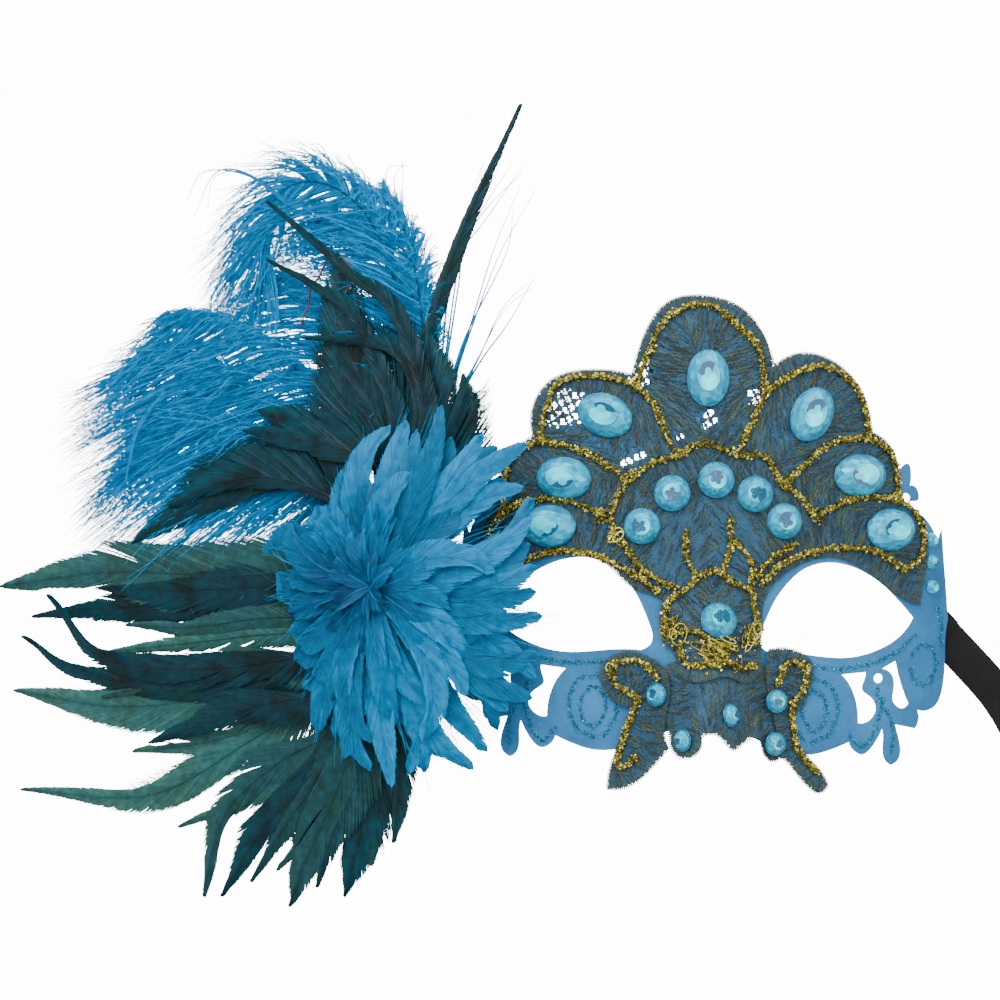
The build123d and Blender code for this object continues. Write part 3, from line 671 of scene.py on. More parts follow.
def edge_stitches(line, base, rng):
    """The whipped edge: short raised stitches across the rim all the way round."""
    spots = evenly(line, STITCH_PITCH)
    along = unit(np.roll(spots, -2, axis=0) - np.roll(spots, 2, axis=0))
    inwards = np.stack([along[:, 1], -along[:, 0]], -1)
    if not inside(spots[:50] + inwards[:50] * 0.8, line).mean() > 0.5:
        inwards = -inwards
    share = np.linspace(-0.15, 1, len(STITCH_WIDTHS))
    reach = STITCH_REACH * rng.uniform(0.8, 1.25, len(spots))
    lean = along * rng.normal(0.12, 0.12, len(spots))[:, None]
    flat = spots[:, None] + (inwards + lean)[:, None] * (reach[:, None] * share)[..., None]
    width = np.tile(np.array(STITCH_WIDTHS), (len(spots), 1))
    tint = mixed(THREAD_DARK, THREAD_OLIVE, rng.random(len(spots)) * 0.75)
    tint = mixed(tint, THREAD_BLUE, rng.random(len(spots)) * 0.5)
    tint = np.repeat(tint[:, None], len(STITCH_WIDTHS), 1)
    return ridge(flat, base + LACE_SHEET, width, STITCH_HEIGHT, tint)


def fill_threads(line, base, rng, reach, crowd):
    """Wavy threads laid at right angles to the nearest edge over the whole piece."""
    low, high = line.min(0), line.max(0)
    area = (high - low).prod()
    spots = rng.uniform(low, high, (int(area * crowd), 2))
    spots = spots[inside(spots, line)]
    distance, away = nearest(spots, evenly(line, 0.8))
    clear_of_edge = distance > THREAD_EDGE_GAP
    spots, away = spots[clear_of_edge], away[clear_of_edge]
    count = len(spots)
    share = np.linspace(-0.5, 0.5, THREAD_STEPS)
    length = reach * rng.uniform(0.6, 1.3, count)
    across = np.stack([-away[:, 1], away[:, 0]], -1)
    turn = rng.normal(0, 0.12, count)
    away = away * np.cos(turn)[:, None] + across * np.sin(turn)[:, None]
    across = np.stack([-away[:, 1], away[:, 0]], -1)
    phase = rng.uniform(0, 6.3, count)[:, None]
    wave = 0.22 * np.sin(share * 14 + phase) + 0.14 * np.sin(share * 27 + phase * 2)
    flat = spots[:, None] + away[:, None] * (length[:, None] * share)[..., None]
    flat = flat + across[:, None] * wave[..., None]
    width = THREAD_WIDTH * np.sqrt(np.clip(1.05 - (2 * share) ** 2, 0.05, 1))
    width = np.repeat(width[None], count, 0) * rng.uniform(0.8, 1.25, (count, 1))
    pick = rng.random(count)
    lighter = np.where(pick[:, None] < 0.78, THREAD_OLIVE, THREAD_BLUE)
    tint = np.where(pick[:, None] < 0.5, THREAD_DARK, lighter)
    tint = tint * rng.uniform(0.75, 1.3, (count, 1))
    lift = base + LACE_SHEET + rng.uniform(0.0, 0.25, (count, 1))
    keep = inside(flat[:, 0], line) & inside(flat[:, -1], line)
    for x, z, gap in OPEN_NET:
        clear = np.hypot(spots[:, 0] - x, spots[:, 1] - z) > gap * 0.9
        keep &= clear | (rng.random(count) < OPEN_SHARE)
    if base < FLOWER_BASE:
        half_width, half_height, middle_z = PLAIN_OVAL
        plain = np.hypot(spots[:, 0] / half_width, (spots[:, 1] - middle_z) / half_height) < 1
        keep &= ~plain | (rng.random(count) < PLAIN_SHARE)
    tint = np.repeat(tint[keep][:, None], THREAD_STEPS, 1)
    return ridge(flat[keep], lift[keep], width[keep], THREAD_HEIGHT, tint)


def make_lace():
    """Every piece of lace: ground net, whipped edge and wavy threads."""
    layers = {
        "lace_fan": (FAN_BASE, 5.4, 0.62),
        "lace_tail": (FAN_BASE, 4.0, 0.5),
        "lace_flower": (FLOWER_BASE, 4.2, 0.6),
        "lace_leaf_left": (FLOWER_BASE, 4.0, 0.5),
        "lace_leaf_right": (FLOWER_BASE, 4.0, 0.5),
    }
    for number, (node, (base, reach, crowd)) in enumerate(layers.items()):
        rng = np.random.default_rng(SEED + number)
        line = outline_of(node)
        net = mesh_piece(node + "_net", *net_sheet(line, base, rng), LACE_THREAD)
        as_slot(net, "lace", node)
        parts = [edge_stitches(line, base, rng), fill_threads(line, base, rng, reach, crowd)]
        as_slot(mesh_piece(node + "_threads", *joined(parts), LACE_THREAD), "lace", node)


# ---------------------------------------------------------------- gold cord

LOBE_CORDS = (
    ((-23.6, 70.5), (-20, 80), (-14, 92), (-2, 96.6), (8.8, 89.6), (14.6, 83), (17.6, 69.4)),
    ((17.6, 69.4), (26, 75), (36, 77.9), (46, 72), (49.8, 63), (50.7, 55.8)),
    ((50.7, 55.8), (57.4, 52), (60, 46), (61, 36.4)),
    ((61, 36.4), (67.4, 31.6), (69.9, 25), (68.8, 18), (63, 14)),
    ((63, 14), (54, 19.4), (39.7, 20.4), (24.3, 15.9), (16.4, 7.8)),
    ((-23.6, 70.5), (-36, 73.2), (-47.5, 71), (-51.6, 62.5), (-53.2, 52.5)),
    ((-53.2, 52.5), (-60, 48.6), (-63.8, 42), (-64.1, 29.4)),
    ((-64.1, 29.4), (-68.6, 22), (-67.4, 12.6), (-61.4, 11.6)),
    ((-61.4, 11.6), (-51, 16.8), (-37, 16.8), (-24.4, 11.4), (-15, 5.4)),
    ((-23.6, 70.5), (-17.8, 64), (-12.7, 52)),
    ((17.6, 69.4), (12.8, 59), (9.6, 51.6)),
    ((-53.2, 52.5), (-41, 49.6), (-28.6, 42.6)),
    ((50.7, 55.8), (38, 53), (24.6, 41.4)),
    ((-64.1, 29.4), (-58, 33), (-46, 33.8), (-33, 29.4)),
    ((61, 36.4), (48, 36.4), (36, 31.8)),
)
SCALLOP_CORDS = (
    ((-29, 22.6), (-30.4, 30), (-25.6, 40.6)),
    ((-25.6, 40.6), (-18, 46), (-10, 48.4)),
    ((-10, 48.4), (-2, 52.6), (9.4, 48.6)),
    ((9.4, 48.6), (17, 48.8), (22.6, 40.8)),
    ((22.6, 40.8), (29, 36), (33.6, 29.4)),
)
NET_CORDS = (
    ((-27, 21), (-20, 12), (-9.6, 6.4)),
    ((-7, 25), (-6.4, 16), (-4, 11.6)),
    ((6.6, 29), (7, 20), (4.6, 13)),
    ((8.4, 22), (14, 15), (13.6, 8)),
    ((28, 22), (20, 16.6), (15.4, 11)),
)
FLOWER_CORDS = (
    ((-12.9, -8.6), (-13.3, -3), (-12, 3)),
    ((-12, 3), (-7, 6.2), (-2.4, 11), (3.2, 12.4), (7, 9.6), (13.8, 6.4)),
    ((13.8, 6.4), (14.8, 0.4), (16.6, -6)),
    ((-11.8, -8.2), (-5, -6.6), (0.6, -9)),
    ((-8.2, -10.4), (-7.4, -15), (-3.9, -17.4), (4, -14.6), (9, -17.6), (15.2, -16.8)),
)
LEFT_LEAF_CORDS = (
    ((-29.4, -17.6), (-23, -16.2), (-17.5, -18.6), (-14.4, -22)),
    ((-29.4, -17.6), (-28.4, -23.4), (-20.4, -28.2)),
    ((-20.4, -28.2), (-23.8, -36), (-27, -47.6)),
    ((-27, -47.6), (-25.5, -50), (-20.6, -46.4)),
)
RIGHT_LEAF_CORDS = (
    ((22.4, -23.6), (24.1, -17.7), (27, -15.6), (31.8, -17)),
    ((31.8, -17), (31.4, -23), (27.4, -29)),
    ((27.4, -29), (27.8, -36), (29.4, -43.4)),
    ((29.4, -43.4), (33, -47.6), (36.4, -50.2)),
)
# Knots where cords meet, and the tangle of cord below the nose stone: x, z and reach.
KNOTS = (
    (-53.2, 53, 2.2), (-23.6, 71, 2.4), (-25.8, 41.4, 2.4), (-33.4, 29.2, 2.4), (-64.4, 30, 2.0),
    (-29.4, 22, 2.6), (-10.2, 49.6, 1.8), (9.6, 50, 1.8), (23.6, 41, 2.4), (34.6, 30.6, 2.4),
    (17.6, 70, 2.0), (50.8, 56, 1.8), (61, 36.8, 1.8), (-29, -18, 2.2), (31, -17.6, 2.0),
)
TANGLES = ((3, -11.5, 9.5, 4.6), (-10.5, -6.5, 3.4, 5.0), (13.6, -7.6, 3.4, 5.0), (3, -16.6, 8.5, 2.2))

GOLD_TONES = tuple(linear(code) for code in ("30380F", "605A18", "98862A", "CCC03C", "F0EA84"))
GOLD_ODDS = (0.2, 0.2, 0.22, 0.22, 0.16)
GOLD_CORE = linear("6A5B22")
GRAIN_SPREAD = 0.72
GRAINS_PER_MM = 9.0
GRAIN_SIZES = (0.28, 0.62)
STRANDS = 3
STRAND_GAP = 2.094
STRAND_TWIST = 2.2
STRAND_RADIUS = 0.36
LOOP_POINTS = 18
TO_VIEWER = np.array((0, -1.0, 0))


def gold_run(flat, base, rng):
    """One run of cord: three twisted strands under a crust of metallic grains."""
    length = path_length(flat)
    line = smooth_path(flat, max(8, int(length * 2)))
    wander = np.stack([np.sin(np.arange(len(line)) * 0.9), np.cos(np.arange(len(line)) * 1.3)], -1)
    line = line + 0.16 * wander
    centre, out = on_face(line, base), face_out(line)
    side = unit(np.cross(np.gradient(centre, axis=0), out))
    turn = np.linspace(0, length * STRAND_TWIST, len(line))
    strands = []
    for number in range(STRANDS):
        angle = (turn + number * STRAND_GAP)[:, None]
        strands.append(centre + side * np.cos(angle) * 0.42 + out * (0.55 + 0.35 * np.sin(angle)))
    strands = np.array(strands)
    radius = np.full(strands.shape[:2], STRAND_RADIUS)
    core = tubes(strands, radius, np.broadcast_to(GOLD_CORE, strands.shape), TO_VIEWER)
    count = int(length * GRAINS_PER_MM)
    pick = rng.integers(0, len(line), count)
    around = rng.uniform(0, math.pi, count)
    reach = GRAIN_SPREAD * rng.uniform(0.7, 1.5, count)
    spots = centre[pick] + side[pick] * (np.cos(around) * reach)[:, None]
    spots = spots + out[pick] * (0.5 + np.sin(around) * reach)[:, None]
    spots = spots + rng.normal(0, 0.15, spots.shape)
    return core, grains(rng, spots, rng.uniform(*GRAIN_SIZES, count), gold_tints(rng, count))


def gold_tints(rng, count):
    """A random mixture of old gold, from olive to pale yellow."""
    return np.array(GOLD_TONES)[rng.choice(len(GOLD_TONES), count, p=GOLD_ODDS)]


def gold_patch(x, z, reach_x, reach_z, base, rng, crowd=7.0, thick=0.3):
    """A knot or a tangle of cord: loose loops with grains between them."""
    count = max(3, int(reach_x * reach_z * 0.7))
    turn = np.linspace(0, 2 * math.pi, LOOP_POINTS)[None]
    size = rng.uniform(0.25, 0.7, (count, 1)) * min(1.0, 4.0 / reach_x)
    middle = rng.uniform(-0.6, 0.6, (count, 1, 2)) * (reach_x, reach_z)
    loop = np.stack([np.cos(turn + size * 9) * size * reach_x, np.sin(turn) * size * reach_z], -1)
    flat = (x, z) + middle + loop
    centre = on_face(flat, base + 0.5) + face_out(flat) * rng.uniform(0, 0.9, (count, 1, 1))
    tint = np.repeat(gold_tints(rng, count)[:, None] * 0.8, LOOP_POINTS, 1)
    strand = tubes(centre, np.full(centre.shape[:2], thick), tint, TO_VIEWER)
    total = int(reach_x * reach_z * crowd)
    spread = rng.normal(0, 0.45, (total, 2)) * (reach_x, reach_z) + (x, z)
    spots = on_face(spread, base + 0.4) + face_out(spread) * rng.uniform(0, 1.1, (total, 1))
    return strand, grains(rng, spots, rng.uniform(*GRAIN_SIZES, total), gold_tints(rng, total))


def make_gold_cord():
    """The gold cord on each part of the crest, with its knots and tangles."""
    groups = {
        "gold_cord_lobes": (LOBE_CORDS, FAN_BASE + 0.7),
        "gold_cord_scallops": (SCALLOP_CORDS, FAN_BASE + 0.7),
        "gold_cord_net": (NET_CORDS, FAN_BASE + 0.5),
        "gold_cord_flower": (FLOWER_CORDS, FLOWER_BASE + 0.7),
        "gold_cord_leaf_left": (LEFT_LEAF_CORDS, FLOWER_BASE + 0.7),
        "gold_cord_leaf_right": (RIGHT_LEAF_CORDS, FLOWER_BASE + 0.7),
    }
    for number, (node, (runs, base)) in enumerate(groups.items()):
        rng = np.random.default_rng(SEED + 20 + number)
        built = [gold_run(np.array(run, float), base, rng) for run in runs]
        if node == "gold_cord_lobes":
            built += [gold_patch(x, z, reach, reach, base, rng) for x, z, reach in KNOTS]
        if node == "gold_cord_flower":
            built += [gold_patch(*tangle, base, rng, 4.0, 0.16) for tangle in TANGLES]
        core = mesh_piece(node + "_strands", *joined([each[0] for each in built]), GOLD_GLITTER)
        crust = mesh_piece(node + "_grains", *joined([each[1] for each in built]), GOLD_GLITTER, False)
        as_slot(core, "gold_cord", node)
        as_slot(crust, "gold_cord", node)


# ---------------------------------------------------------------- stones

# Stone blues: the body, a dark blue that is also painted shade on facets, a bright blue for painted glints,
# a pale painted highlight, and a painted dark reflection for the table of round stones.
STONE_BODY = linear("0688B4")
STONE_DARK_AND_SHADE = linear("045070")
STONE_BRIGHT = linear("00BCE2")
STONE_PAINTED_HIGHLIGHT = linear("1CF0FF")
CHATON_PAINTED_DARK_REFLECTION = linear("06222E")
CUT_SIDES = 16
# How much deeper than its CAD solid a stone is cut.
CUT_DEPTH = 1.06
SETTING_POINTS = 41
SETTING_RADIUS = 0.42
SETTING_MARGIN = 0.15
# Rows of facets from the girdle to the table: share of the depth and of the outline.
CUT_ROWS = ((0.0, 1.0), (0.16, 1.02), (0.42, 0.93), (0.7, 0.78), (0.93, 0.6), (1.0, 0.55))


def stone_seat(points):
    """A CAD stone's seat: its middle, its long and short ways, the way out, and its sizes."""
    middle = points.mean(0)
    _, _, ways = np.linalg.svd(points - middle)
    out = ways[2] if ways[2][1] < 0 else -ways[2]
    long_way = ways[0]
    short_way = np.cross(out, long_way)
    spread = (points - middle) @ np.stack([long_way, short_way, out]).T
    low, high = spread.min(0), spread.max(0)
    return middle + out * low[2], long_way, short_way, out, high - low


def cut_stone(points, rng, round_cut):
    """A finely cut stone on a CAD stone's seat, its facets in different blues that hold painted light:
    random painted shade and glints, a painted highlight and shade from one random side, and a painted dark
    reflection in the table of round stones.
    """
    seat, long_way, short_way, out, size = stone_seat(points)
    turn = np.arange(CUT_SIDES) * 2 * math.pi / CUT_SIDES
    rows = []
    for number, (share, scale) in enumerate(CUT_ROWS):
        angle = turn + (math.pi / CUT_SIDES if number % 2 else 0)
        ring = seat + out * (share * size[2] * CUT_DEPTH)
        ring = ring + np.cos(angle)[:, None] * long_way * (scale * size[0] / 2)
        rows.append(ring + np.sin(angle)[:, None] * short_way * (scale * size[1] / 2))
    triangles, tints = [], []
    for number, (lower, upper) in enumerate(zip(rows, rows[1:])):
        for k in range(CUT_SIDES):
            after = (k + 1) % CUT_SIDES
            above, below = (k, after) if number % 2 == 0 else (after, k)
            triangles.append((lower[k], lower[after], upper[above]))
            triangles.append((lower[below], upper[after], upper[k]))
            # Row facets: painted shade of a random depth, and on about two in five a strong painted glint.
            for _ in range(2):
                depth = rng.random()
                shade = mixed(STONE_DARK_AND_SHADE, STONE_BODY, depth**0.35)
                tints.append(mixed(shade, STONE_BRIGHT, 0.3 + 0.6 * (rng.random() > 0.6)))
    top = rows[-1]
    rim = mixed(STONE_BODY, STONE_BRIGHT, 0.55)
    face = seat + out * (size[2] * CUT_DEPTH)
    reach = 0.45 + 0.3 * np.abs(np.cos(turn * 2))[:, None]
    inner = face + reach * (top - face) + long_way * (0.04 * size[0])
    centre = inner.mean(0)
    # A random light direction: crown facets facing it get a painted highlight, those facing away painted
    # shade.
    painted_light_angle = rng.uniform(0, 2 * math.pi)
    for k in range(CUT_SIDES):
        after = (k + 1) % CUT_SIDES
        facing = 0.5 + 0.5 * math.cos(turn[k] - painted_light_angle)
        crown_painted_light_tint = mixed(STONE_DARK_AND_SHADE if facing < 0.25 else rim, STONE_PAINTED_HIGHLIGHT, facing**3)
        # The table: a painted dark reflection in round stones, a painted highlight towards the light in
        # oval ones.
        table_painted_light_tint = mixed(CHATON_PAINTED_DARK_REFLECTION, STONE_BODY, 0.25 + 0.3 * (k % 3 == 0))
        if not round_cut:
            table_painted_light_tint = mixed(STONE_BODY, STONE_PAINTED_HIGHLIGHT, min(1.0, 0.45 + facing))
        triangles += [(top[k], top[after], inner[after]), (top[k], inner[after], inner[k])]
        triangles.append((inner[k], inner[after], centre))
        tints += [crown_painted_light_tint, crown_painted_light_tint, table_painted_light_tint]
    corners = np.array(triangles).reshape(-1, 3)
    faces = np.arange(len(corners)).reshape(-1, 3)
    return corners, faces, np.repeat(np.array(tints), 3, 0)


def setting(points, rng):
    """The rim of glue and foil that a stone sits in."""
    seat, long_way, short_way, out, size = stone_seat(points)
    turn = np.linspace(0, 2 * math.pi, SETTING_POINTS)
    ring = seat + out * 0.25 + np.cos(turn)[:, None] * long_way * (size[0] / 2 + SETTING_MARGIN)
    ring = ring + np.sin(turn)[:, None] * short_way * (size[1] / 2 + SETTING_MARGIN)
    tint = mixed(STONE_DARK_AND_SHADE, STONE_BODY, rng.random(SETTING_POINTS) * 0.5)
    return tubes(ring[None], np.full((1, SETTING_POINTS), SETTING_RADIUS), tint[None], out, 8)


def make_stones():
    """Every rhinestone with its setting."""
    nodes = [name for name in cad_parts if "stone" in name and name != "side_stones"]
    for number, node in enumerate(sorted(nodes)):
        rng = np.random.default_rng(SEED + 50 + number)
        points = node_points(node)
        round_cut = "oval" not in node
        as_slot(mesh_piece(node + "_cut", *cut_stone(points, rng, round_cut), STONE, False), "stone", node)
        as_slot(mesh_piece(node + "_setting", *setting(points, rng), STONE), "stone", node)
    points = node_points("side_stones")
    rng = np.random.default_rng(SEED + 90)
    order = np.argsort(points[:, 2])
    gaps = np.flatnonzero(np.diff(points[order, 2]) > 1.0)
    stones = np.split(points[order], gaps + 1)
    cuts = joined([cut_stone(each, rng, False) for each in stones])
    as_slot(mesh_piece("side_stones_cut", *cuts, STONE, False), "stone", "side_stones")


# ---------------------------------------------------------------- feathers

CLUSTER_MIDDLE = np.array(
    [(low + high) / 2 / MM for low, high in zip(*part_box("quill_bundle"))]
) - CLUSTER_OUT * BUNDLE_MIDDLE


def in_cluster(places):
    """Points of the cluster plane (u, v, lift) in the model's frame."""
    places = np.asarray(places, float)
    return (
        CLUSTER_MIDDLE
        + places[..., 0:1] * CLUSTER_X
        + places[..., 1:2] * CLUSTER_Z
        + places[..., 2:3] * CLUSTER_OUT
    )


def barb_rows(rng, quill, count, side, length, angle, steps, curl, clumps, ragged=0.085):
    """Barbs on one side of a quill (points of u, v, lift): their points and shares along."""
    places = np.linspace(0, 1, count)
    along = np.linspace(0, 1, len(quill))
    root = sampled(quill, along, places)
    ahead = sampled(unit(np.gradient(quill, axis=0)), along, places)
    side_way = unit(np.stack([-ahead[:, 1], ahead[:, 0], np.zeros(count)], -1)) * side
    clump = np.floor(places * clumps + 0.35 * np.sin(places * 40 + rng.uniform(0, 6)))
    jitter = rng.normal(0, ragged, int(clump.max() - clump.min()) + 2)[(clump - clump.min()).astype(int)]
    start = angle(places) + jitter + rng.normal(0, 0.02, count)
    share = np.linspace(0, 1, steps)
    bend = start[:, None] * (1 - curl * share[None])
    stride = (length(places) * (1 - ragged * rng.random(count)))[:, None] / (steps - 1)
    move = np.cos(bend)[..., None] * ahead[:, None] + np.sin(bend)[..., None] * side_way[:, None]
    line = root[:, None] + np.cumsum(move * stride[..., None], axis=1) - move[:, :1] * stride[..., None]
    return line, places, share


def barb_strips(rng, line, width, tint, tilt):
    """Barbs as thin strips, each rolled a little so that it catches the light its own way."""
    centre = in_cluster(line)
    ahead = unit(np.gradient(centre, axis=1))
    across = unit(np.cross(ahead, CLUSTER_OUT))
    roll = rng.normal(0, tilt, len(line))[:, None, None]
    across = across * np.cos(roll) + CLUSTER_OUT * np.sin(roll)
    return strips(centre, across * width[..., None] / 2, tint)


def shaft(quill, thick, tint):
    """A quill's tapering shaft."""
    centre = in_cluster(quill)[None]
    radius = np.linspace(thick, thick * 0.15, len(quill))[None]
    return tubes(centre, radius, np.broadcast_to(tint, centre.shape), CLUSTER_OUT, 6)


VANE_POINTS = 60
VANE_BARB_GAP = 0.32
VANE_ANGLE = 0.5
VANE_CURL = 0.5
VANE_STEPS = 5
VANE_CLUMPS = 7
VANE_SHAFT = 0.42
VANE_BARB = 0.74


def vane(rng, points, width, lift, rise, tints, angle=VANE_ANGLE):
    """A flat feather: a shaft and two rows of barbs, narrow at its root and pointed at its tip."""
    quill = smooth_path(points, VANE_POINTS)
    place = np.linspace(0, 1, VANE_POINTS)
    height = lift + rise * np.sin(math.pi * place * 0.9)
    quill = np.column_stack([quill, height])
    count = int(path_length(quill) / VANE_BARB_GAP)
    parts = [shaft(quill, VANE_SHAFT, tints[0] * 0.6)]
    for side in (1, -1):

        def length(t):
            swell = np.clip(np.sin(math.pi * np.clip(t, 0, 1) ** 0.55), 0, 1) ** 0.9
            full = (0.8 + (width / 2) * 1.45 * swell) / math.sin(angle) * (0.92 if side > 0 else 1.08)
            return np.minimum(full, (1 - t) * path_length(quill) * 0.7 + 0.9)

        def lean(t):
            return angle * (1.15 - 0.55 * t)

        line, places, share = barb_rows(
            rng, quill, count, side, length, lean, VANE_STEPS, VANE_CURL, VANE_CLUMPS, 0.05
        )
        line[..., 2] -= share[None] ** 2 * 1.6 + rng.normal(0, 0.1, (count, 1)) * share[None]
        width_now = np.broadcast_to(VANE_BARB * (1 - 0.8 * share**3), line.shape[:2])
        blend = np.clip(share[None] * 0.6 + rng.normal(0, 0.12, (count, 1)), 0, 1)
        tint = mixed(tints[0], tints[1], blend)
        tint = mixed(tint, tints[2], np.clip((places[:, None] - 0.5) * 1.2, 0, 1) * share[None] * 0.8)
        parts.append(barb_strips(rng, line, width_now, tint, 0.12))
    return joined(parts)


DOWN_POINTS = 40
DOWN_STEPS = 9
DOWN_SPREAD = 1.2
DOWN_WIDTH = 0.34


def down(rng, quill, lift, reach, count, tints):
    """Soft curling down along both sides of a quill's lower part."""
    quill = np.column_stack([smooth_path(quill, DOWN_POINTS), np.full(DOWN_POINTS, lift)])
    parts = []

    def length(t):
        return reach * (1 - 0.45 * t)

    def lean(t):
        return DOWN_SPREAD - 0.3 * t

    for side in (1, -1):
        line, _, share = barb_rows(rng, quill, count, side, length, lean, DOWN_STEPS, 0.35, count / 5)
        phase = rng.uniform(0, 6.3, (count, 1))
        ripple = np.sin(share[None] * 9 + phase) * share[None]
        line[..., 0] += ripple * 0.9
        line[..., 1] += np.cos(share[None] * 8 + phase) * share[None] * 0.9
        line[..., 2] += ripple * 1.5
        width = np.broadcast_to(DOWN_WIDTH * (1 - 0.8 * share), line.shape[:2])
        tint = mixed(tints[0], tints[1], np.clip(share[None] + rng.normal(0, 0.15, (count, 1)), 0, 1))
        parts.append(barb_strips(rng, line, width, tint, 0.6))
    return joined(parts)


COQUE_BLACK = linear("020E12")
COQUE_GREEN = linear("032C34")
COQUE_TEAL = linear("066070")
COQUE_CREAM = linear("3E5C54")
COQUE_TINTS = (COQUE_BLACK, COQUE_GREEN, COQUE_TEAL)
COQUE_PALE = (linear("2C5C54"), linear("4E8A80"), linear("86B4A2"))
# How pale each of the lower left feathers is, by its number.
PALE_SHARES = {5: 0.45, 7: 0.7, 8: 0.8, 9: 0.3, 11: 0.2}

# Coque feathers: the points of the quill in the cluster plane, the width and the lift.
UPPER_COQUE_TIPS = (
    (((17.6, 55), (18.6, 79.4), (28.2, 111.4), (47.2, 154)), 5.5, 1),
    (((19.5, 55), (10.3, 85.4), (-9.5, 102.1), (-37.7, 123.8)), 4, 8),
    (((17.4, 54), (11.9, 72), (-2.3, 78.3), (-24.1, 79.6)), 4, 7),
    (((8.3, 54), (-4.7, 83.9), (-20, 95.9), (-38.2, 105.1)), 4, 6),
)
LEFT_COQUE_SICKLES = (
    (((-22.9, -23.3), (-59.2, -29), (-94.8, -26.2), (-117, -6.9)), 9, 7),
    (((-20.2, -28.2), (-60.1, -34.8), (-103.3, -32.3), (-127.5, -21.2)), 9, 5),
    (((-16, -34.4), (-37.5, -40.3), (-55.6, -46.7), (-77.7, -54.4)), 9, 6),
)
COQUE_FEATHERS = (
    (((11, 37.4), (-1.2, 59.8), (-9.6, 82.4), (-14.8, 106.8)), 26, 3),
    (((19.1, 27.9), (21, 50.3), (20.7, 63.1), (18.8, 82.3)), 20, 5),
    (((9.8, 34.1), (-8.1, 43.5), (-26.2, 47.1), (-46.2, 49.2)), 14, 4),
    (((-15.9, 30.4), (-41.3, 33.2), (-63.2, 25.5), (-88.3, 11.6)), 18, 2),
    (((-18.4, 4.4), (-54.7, 1.6), (-95.8, 1.4), (-138, -4.6)), 20, 3),
    (((-19.1, -5.5), (-51.8, -6.6), (-89.1, -9.8), (-126.5, -14.5)), 14, 1),
    (((-17.1, -26.5), (-53.2, -37.8), (-90.3, -43.1), (-130.7, -39.6)), 20, 4),
    (((-17.9, -34.7), (-44.6, -53.9), (-79.4, -72.3), (-128.3, -73.1)), 14, 2),
    (((-9.1, -43.9), (-32, -59.6), (-49.8, -77), (-57.2, -103.8)), 14, 5),
    (((-8.2, -43.9), (-22, -65.8), (-36.1, -81.3), (-51.3, -103.6)), 16, 3),
    (((-2.4, -43.6), (-9, -66.6), (-17.4, -84.9), (-25.9, -105)), 20, 4),
    (((2, -43.5), (1.4, -62.9), (-1.7, -80.9), (-7.3, -100.7)), 20, 2),
)
# Soft down: the stretch of quill it grows on, its lift, its reach and its barbs a side.
COQUE_DOWN = (
    (((-20, -30), (-52, -40), (-84, -44)), 2.0, 12, 225),
    (((-22, -36), (-52, -58), (-84, -72)), 1.0, 12, 225),
    (((-4, -44), (-14, -66), (-26, -84)), 3.4, 10, 225),
    (((4, -42), (4, -62), (2, -80)), 1.6, 14, 285),
    (((-10, -44), (-26, -64), (-40, -82)), 1.4, 12, 225),
    (((8, 34), (2, 52), (-6, 70)), 1.0, 18, 255),
    (((14, 34), (12, 56), (8, 78)), 2.0, 16, 255),
    (((26, 30), (32, 48), (34, 62)), 2.0, 14, 195),
    (((-16, -8), (-40, -8), (-64, -8)), 0.6, 10, 165),
    (((20, 30), (24, 50), (24, 66)), 3.0, 11, 225),
)


# The upper tips and the sickles are slimmer, a little widened, and bound further out.
TIP_ROOT_SHARE = 0.6
TIP_WIDEN = 1.15
TIP_RISE = 2.0
TIP_ANGLE = 0.42
FILL_RISE = 1.0

# Slim feathers that fill in between the big ones: quill, width, lift and paleness.
COQUE_FILL = (
    (((-8, -40), (-24, -58), (-44, -72), (-68, -82)), 11, 2.5, 0.6),
    (((-6, -40), (-16, -62), (-28, -80), (-40, -98)), 12, 4.5, 0.15),
    (((-2, -40), (-10, -62), (-22, -82), (-32, -94)), 12, 1.5, 0.5),
    (((0, -40), (-2, -62), (-10, -80), (-16, -98)), 13, 5.0, 0.1),
    (((6, -38), (6, -58), (4, -74), (2, -90)), 13, 2.6, 0.35),
    (((10, -36), (12, -54), (12, -68), (10, -82)), 12, 3.6, 0.1),
    (((-14, -30), (-36, -46), (-60, -54), (-86, -58)), 11, 2.0, 0.8),
    (((-16, -22), (-44, -28), (-70, -34), (-96, -40)), 11, 6.0, 0.5),
    (((-16, -14), (-44, -18), (-72, -22), (-100, -26)), 8, 1.0, 0.9),
    (((-16, -10), (-40, -12), (-66, -16), (-90, -16)), 9, 1.5, 0.4),
    (((-18, 0), (-46, -2), (-74, -4), (-100, -4)), 16, 2.0, 0.0),
    (((-12, 26), (-34, 34), (-54, 32), (-74, 24)), 14, 3.0, 0.0),
    (((6, 34), (-6, 52), (-12, 68), (-14, 88)), 20, 4.0, 0.0),
    (((16, 32), (14, 50), (12, 66), (10, 86)), 18, 2.0, 0.05),
    (((22, 28), (27, 44), (30, 56), (30, 68)), 15, 2.2, 0.1),
    (((4, 34), (-14, 46), (-30, 52), (-42, 56)), 16, 3.2, 0.0),
)


def with_root(points, share=0.25):
    """A quill carried on inwards towards the bundle that binds it."""
    first = np.array(points[0], float)
    return np.concatenate([[first * share], points])


def coque_tints(pale):
    """The root, middle and edge tints of a coque feather, paler as pale nears 1."""
    return [mixed(dark, light, pale) for dark, light in zip(COQUE_TINTS, COQUE_PALE)]


